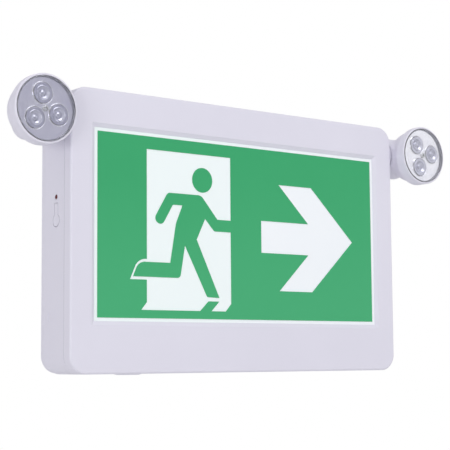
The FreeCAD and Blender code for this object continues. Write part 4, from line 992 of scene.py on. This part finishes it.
    def build(self, nodes: dict[str, bpy.types.Object]) -> None:
        """Dress the lamp's nodes and add its new pieces.

        Args:
            nodes: the frame's nodes by name.
        """
        for part, key in (("neck", "WHITE"), ("lamp_cup", "WHITE"), ("swivel_nut", "INNER"),
                          ("cup_clip", "INNER"), ("led_board", "MASK_WHITE"),
                          ("lamp_leds", "CHIP"), ("reflector", "BRIGHT"), ("optics", "OPTIC"),
                          ("centre_screw", "STEEL"), ("lens", "LENS")):
            dress(nodes["%s_%s" % (self.prefix, part)], self.finishes[key])
        for piece, slot in ((self.add_optics(), "optic_clear"),
                            (self.add_reflector_rims(), "reflector_bright"),
                            (self.add_seal(), "inner_plastic"),
                            (self.add_lens(), "lens_clear"), (self.add_screw(), "clip_steel")):
            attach(piece, self.prefix + "_lamp")
            LOG.info("%s: %d faces", piece.name, len(piece.data.polygons))


# ---------------------------------------------------------------- studio

@dataclass(frozen=True)
class Softbox:
    """Square white area light that faces the middle of the light."""

    name: str
    place: Triple
    size: float
    power: float

    def build(self) -> None:
        """Place the softbox in the scene."""
        data = bpy.data.lights.new(self.name, "AREA")
        data.shape = "SQUARE"
        data.size = self.size
        data.energy = self.power
        data.color = PURE_WHITE
        lamp = bpy.data.objects.new(self.name, data)
        lamp.location = self.place
        lamp.rotation_mode = "QUATERNION"
        lamp.rotation_quaternion = (-Vector(self.place)).to_track_quat("-Z", "Y")
        bpy.context.scene.collection.objects.link(lamp)


@dataclass(frozen=True)
class Studio:
    """Camera, soft lights, white surround and pale floor."""

    camera_place: Triple = (-0.61784, -0.81634, -0.09001)
    yaw: float = 37.6067
    pitch: float = 5.8066
    roll: float = -0.4222
    focal: float = 105.34
    sensor: float = 36.0
    floor_level: float = -0.5
    floor_half: float = 6.0
    floor_colour: Colour = (0.9, 0.9, 0.9)
    floor_fade: Span = (0.5, 1.8)
    dome: Colour = (0.6, 0.6, 0.612)
    grey_side: Triple = (0.27, -0.94, 0.21)
    grey_edge: Span = (28.0, 17.0)
    grey: Colour = (0.47, 0.465, 0.54)
    softboxes: tuple[Softbox, ...] = (
        Softbox("left_softbox", (-2.0, -1.15, -0.25), 1.0, 14.5),
        Softbox("front_softbox", (0.3, -1.6, 1.5), 1.2, 14.5))

    def add_camera(self) -> None:
        """Camera that looks up at the light from its left."""
        yaw, pitch, roll = map(math.radians, (self.yaw, self.pitch, self.roll))
        level = Vector((math.sin(yaw), math.cos(yaw), 0))
        right = Vector((math.cos(yaw), -math.sin(yaw), 0))
        ahead = level * math.cos(pitch) + Vector((0, 0, math.sin(pitch)))
        up = right.cross(ahead)
        turned_right = right * math.cos(roll) + up * math.sin(roll)
        turned_up = up * math.cos(roll) - right * math.sin(roll)
        data = bpy.data.cameras.new("camera")
        data.lens = self.focal
        data.sensor_width = self.sensor
        camera = bpy.data.objects.new("camera", data)
        turn = Matrix((turned_right, turned_up, -ahead)).transposed().to_4x4()
        camera.matrix_world = Matrix.Translation(self.camera_place) @ turn
        bpy.context.scene.collection.objects.link(camera)
        bpy.context.scene.camera = camera

    def add_surround(self) -> None:
        """World: an even pale dome as light; its gloss is white but for one grey side."""
        world = bpy.data.worlds.new("surround")
        world.use_nodes = True
        world.node_tree.nodes.clear()
        nodes = Nodes(world.node_tree)
        direction = nodes.add("TexCoord").outputs["Generated"]
        facing = nodes.feed(nodes.add("VectorMath", operation="DOT_PRODUCT"),
                            _0=direction, _1=self.grey_side).outputs["Value"]
        outer, inner = (math.cos(math.radians(angle)) for angle in self.grey_edge)
        share = nodes.fit(facing, (outer, inner), (0.0, 1.0), smooth=True)
        gloss = nodes.mix(share, PURE_WHITE, self.grey)
        path = nodes.add("LightPath").outputs
        in_gloss = nodes.math("MAXIMUM", path["Is Glossy Ray"], path["Is Transmission Ray"])
        lit = nodes.mix(in_gloss, self.dome, gloss)
        seen = nodes.mix(path["Is Camera Ray"], lit, PURE_WHITE)
        shader = nodes.feed(nodes.add("Background"), Color=seen, Strength=1.0)
        output = nodes.add("OutputWorld")
        nodes.tree.links.new(shader.outputs[0], output.inputs[0])
        bpy.context.scene.world = world

    def add_floor(self) -> None:
        """Pale floor well below the light; it turns into the white surround far out."""
        half, level = self.floor_half, self.floor_level
        corners = np.array([[-half, -half, level], [half, -half, level],
                            [half, half, level], [-half, half, level]])
        nodes, shader = open_material("pale floor")
        nodes.feed(shader, Base_Color=self.floor_colour, Roughness=0.9)
        point = nodes.object_point()
        flat = nodes.feed(nodes.add("VectorMath", operation="MULTIPLY"),
                          _0=point, _1=(1.0, 1.0, 0.0)).outputs[0]
        reach = nodes.feed(nodes.add("VectorMath", operation="LENGTH"), _0=flat).outputs["Value"]
        far = nodes.fit(reach, self.floor_fade, (0.0, 1.0), smooth=True)
        seen = nodes.math("MULTIPLY", far, nodes.add("LightPath").outputs["Is Camera Ray"])
        glow = nodes.feed(nodes.add("Emission"), Color=PURE_WHITE, Strength=1.0)
        blend = nodes.feed(nodes.add("MixShader"), _0=seen, _1=shader.outputs[0],
                           _2=glow.outputs[0])
        output = next(node for node in nodes.tree.nodes if node.type == "OUTPUT_MATERIAL")
        nodes.tree.links.new(blend.outputs[0], output.inputs[0])
        surface = Surface(corners, np.array([[0, 1, 2, 3]]), np.empty((0, 3), int))
        make_object("floor", surface, material_of(nodes))

    def build(self) -> None:
        """Make the studio."""
        self.add_camera()
        self.add_surround()
        self.add_floor()
        for softbox in self.softboxes:
            softbox.build()
        bpy.context.scene.view_settings.view_transform = "Standard"
        LOG.info("studio ready")


def main() -> None:
    """Build the dressed light in its studio."""
    logging.basicConfig(level=logging.INFO, format="%(message)s")
    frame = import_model()
    finishes = Finishes(SharedEffects())
    Case(finishes).build(frame["nodes"])
    LampHead(Side.LEFT, finishes, clocking=101.7).build(frame["nodes"])
    LampHead(Side.RIGHT, finishes, clocking=129.5).build(frame["nodes"])
    Studio().build()


if __name__ == "__main__":
    main()
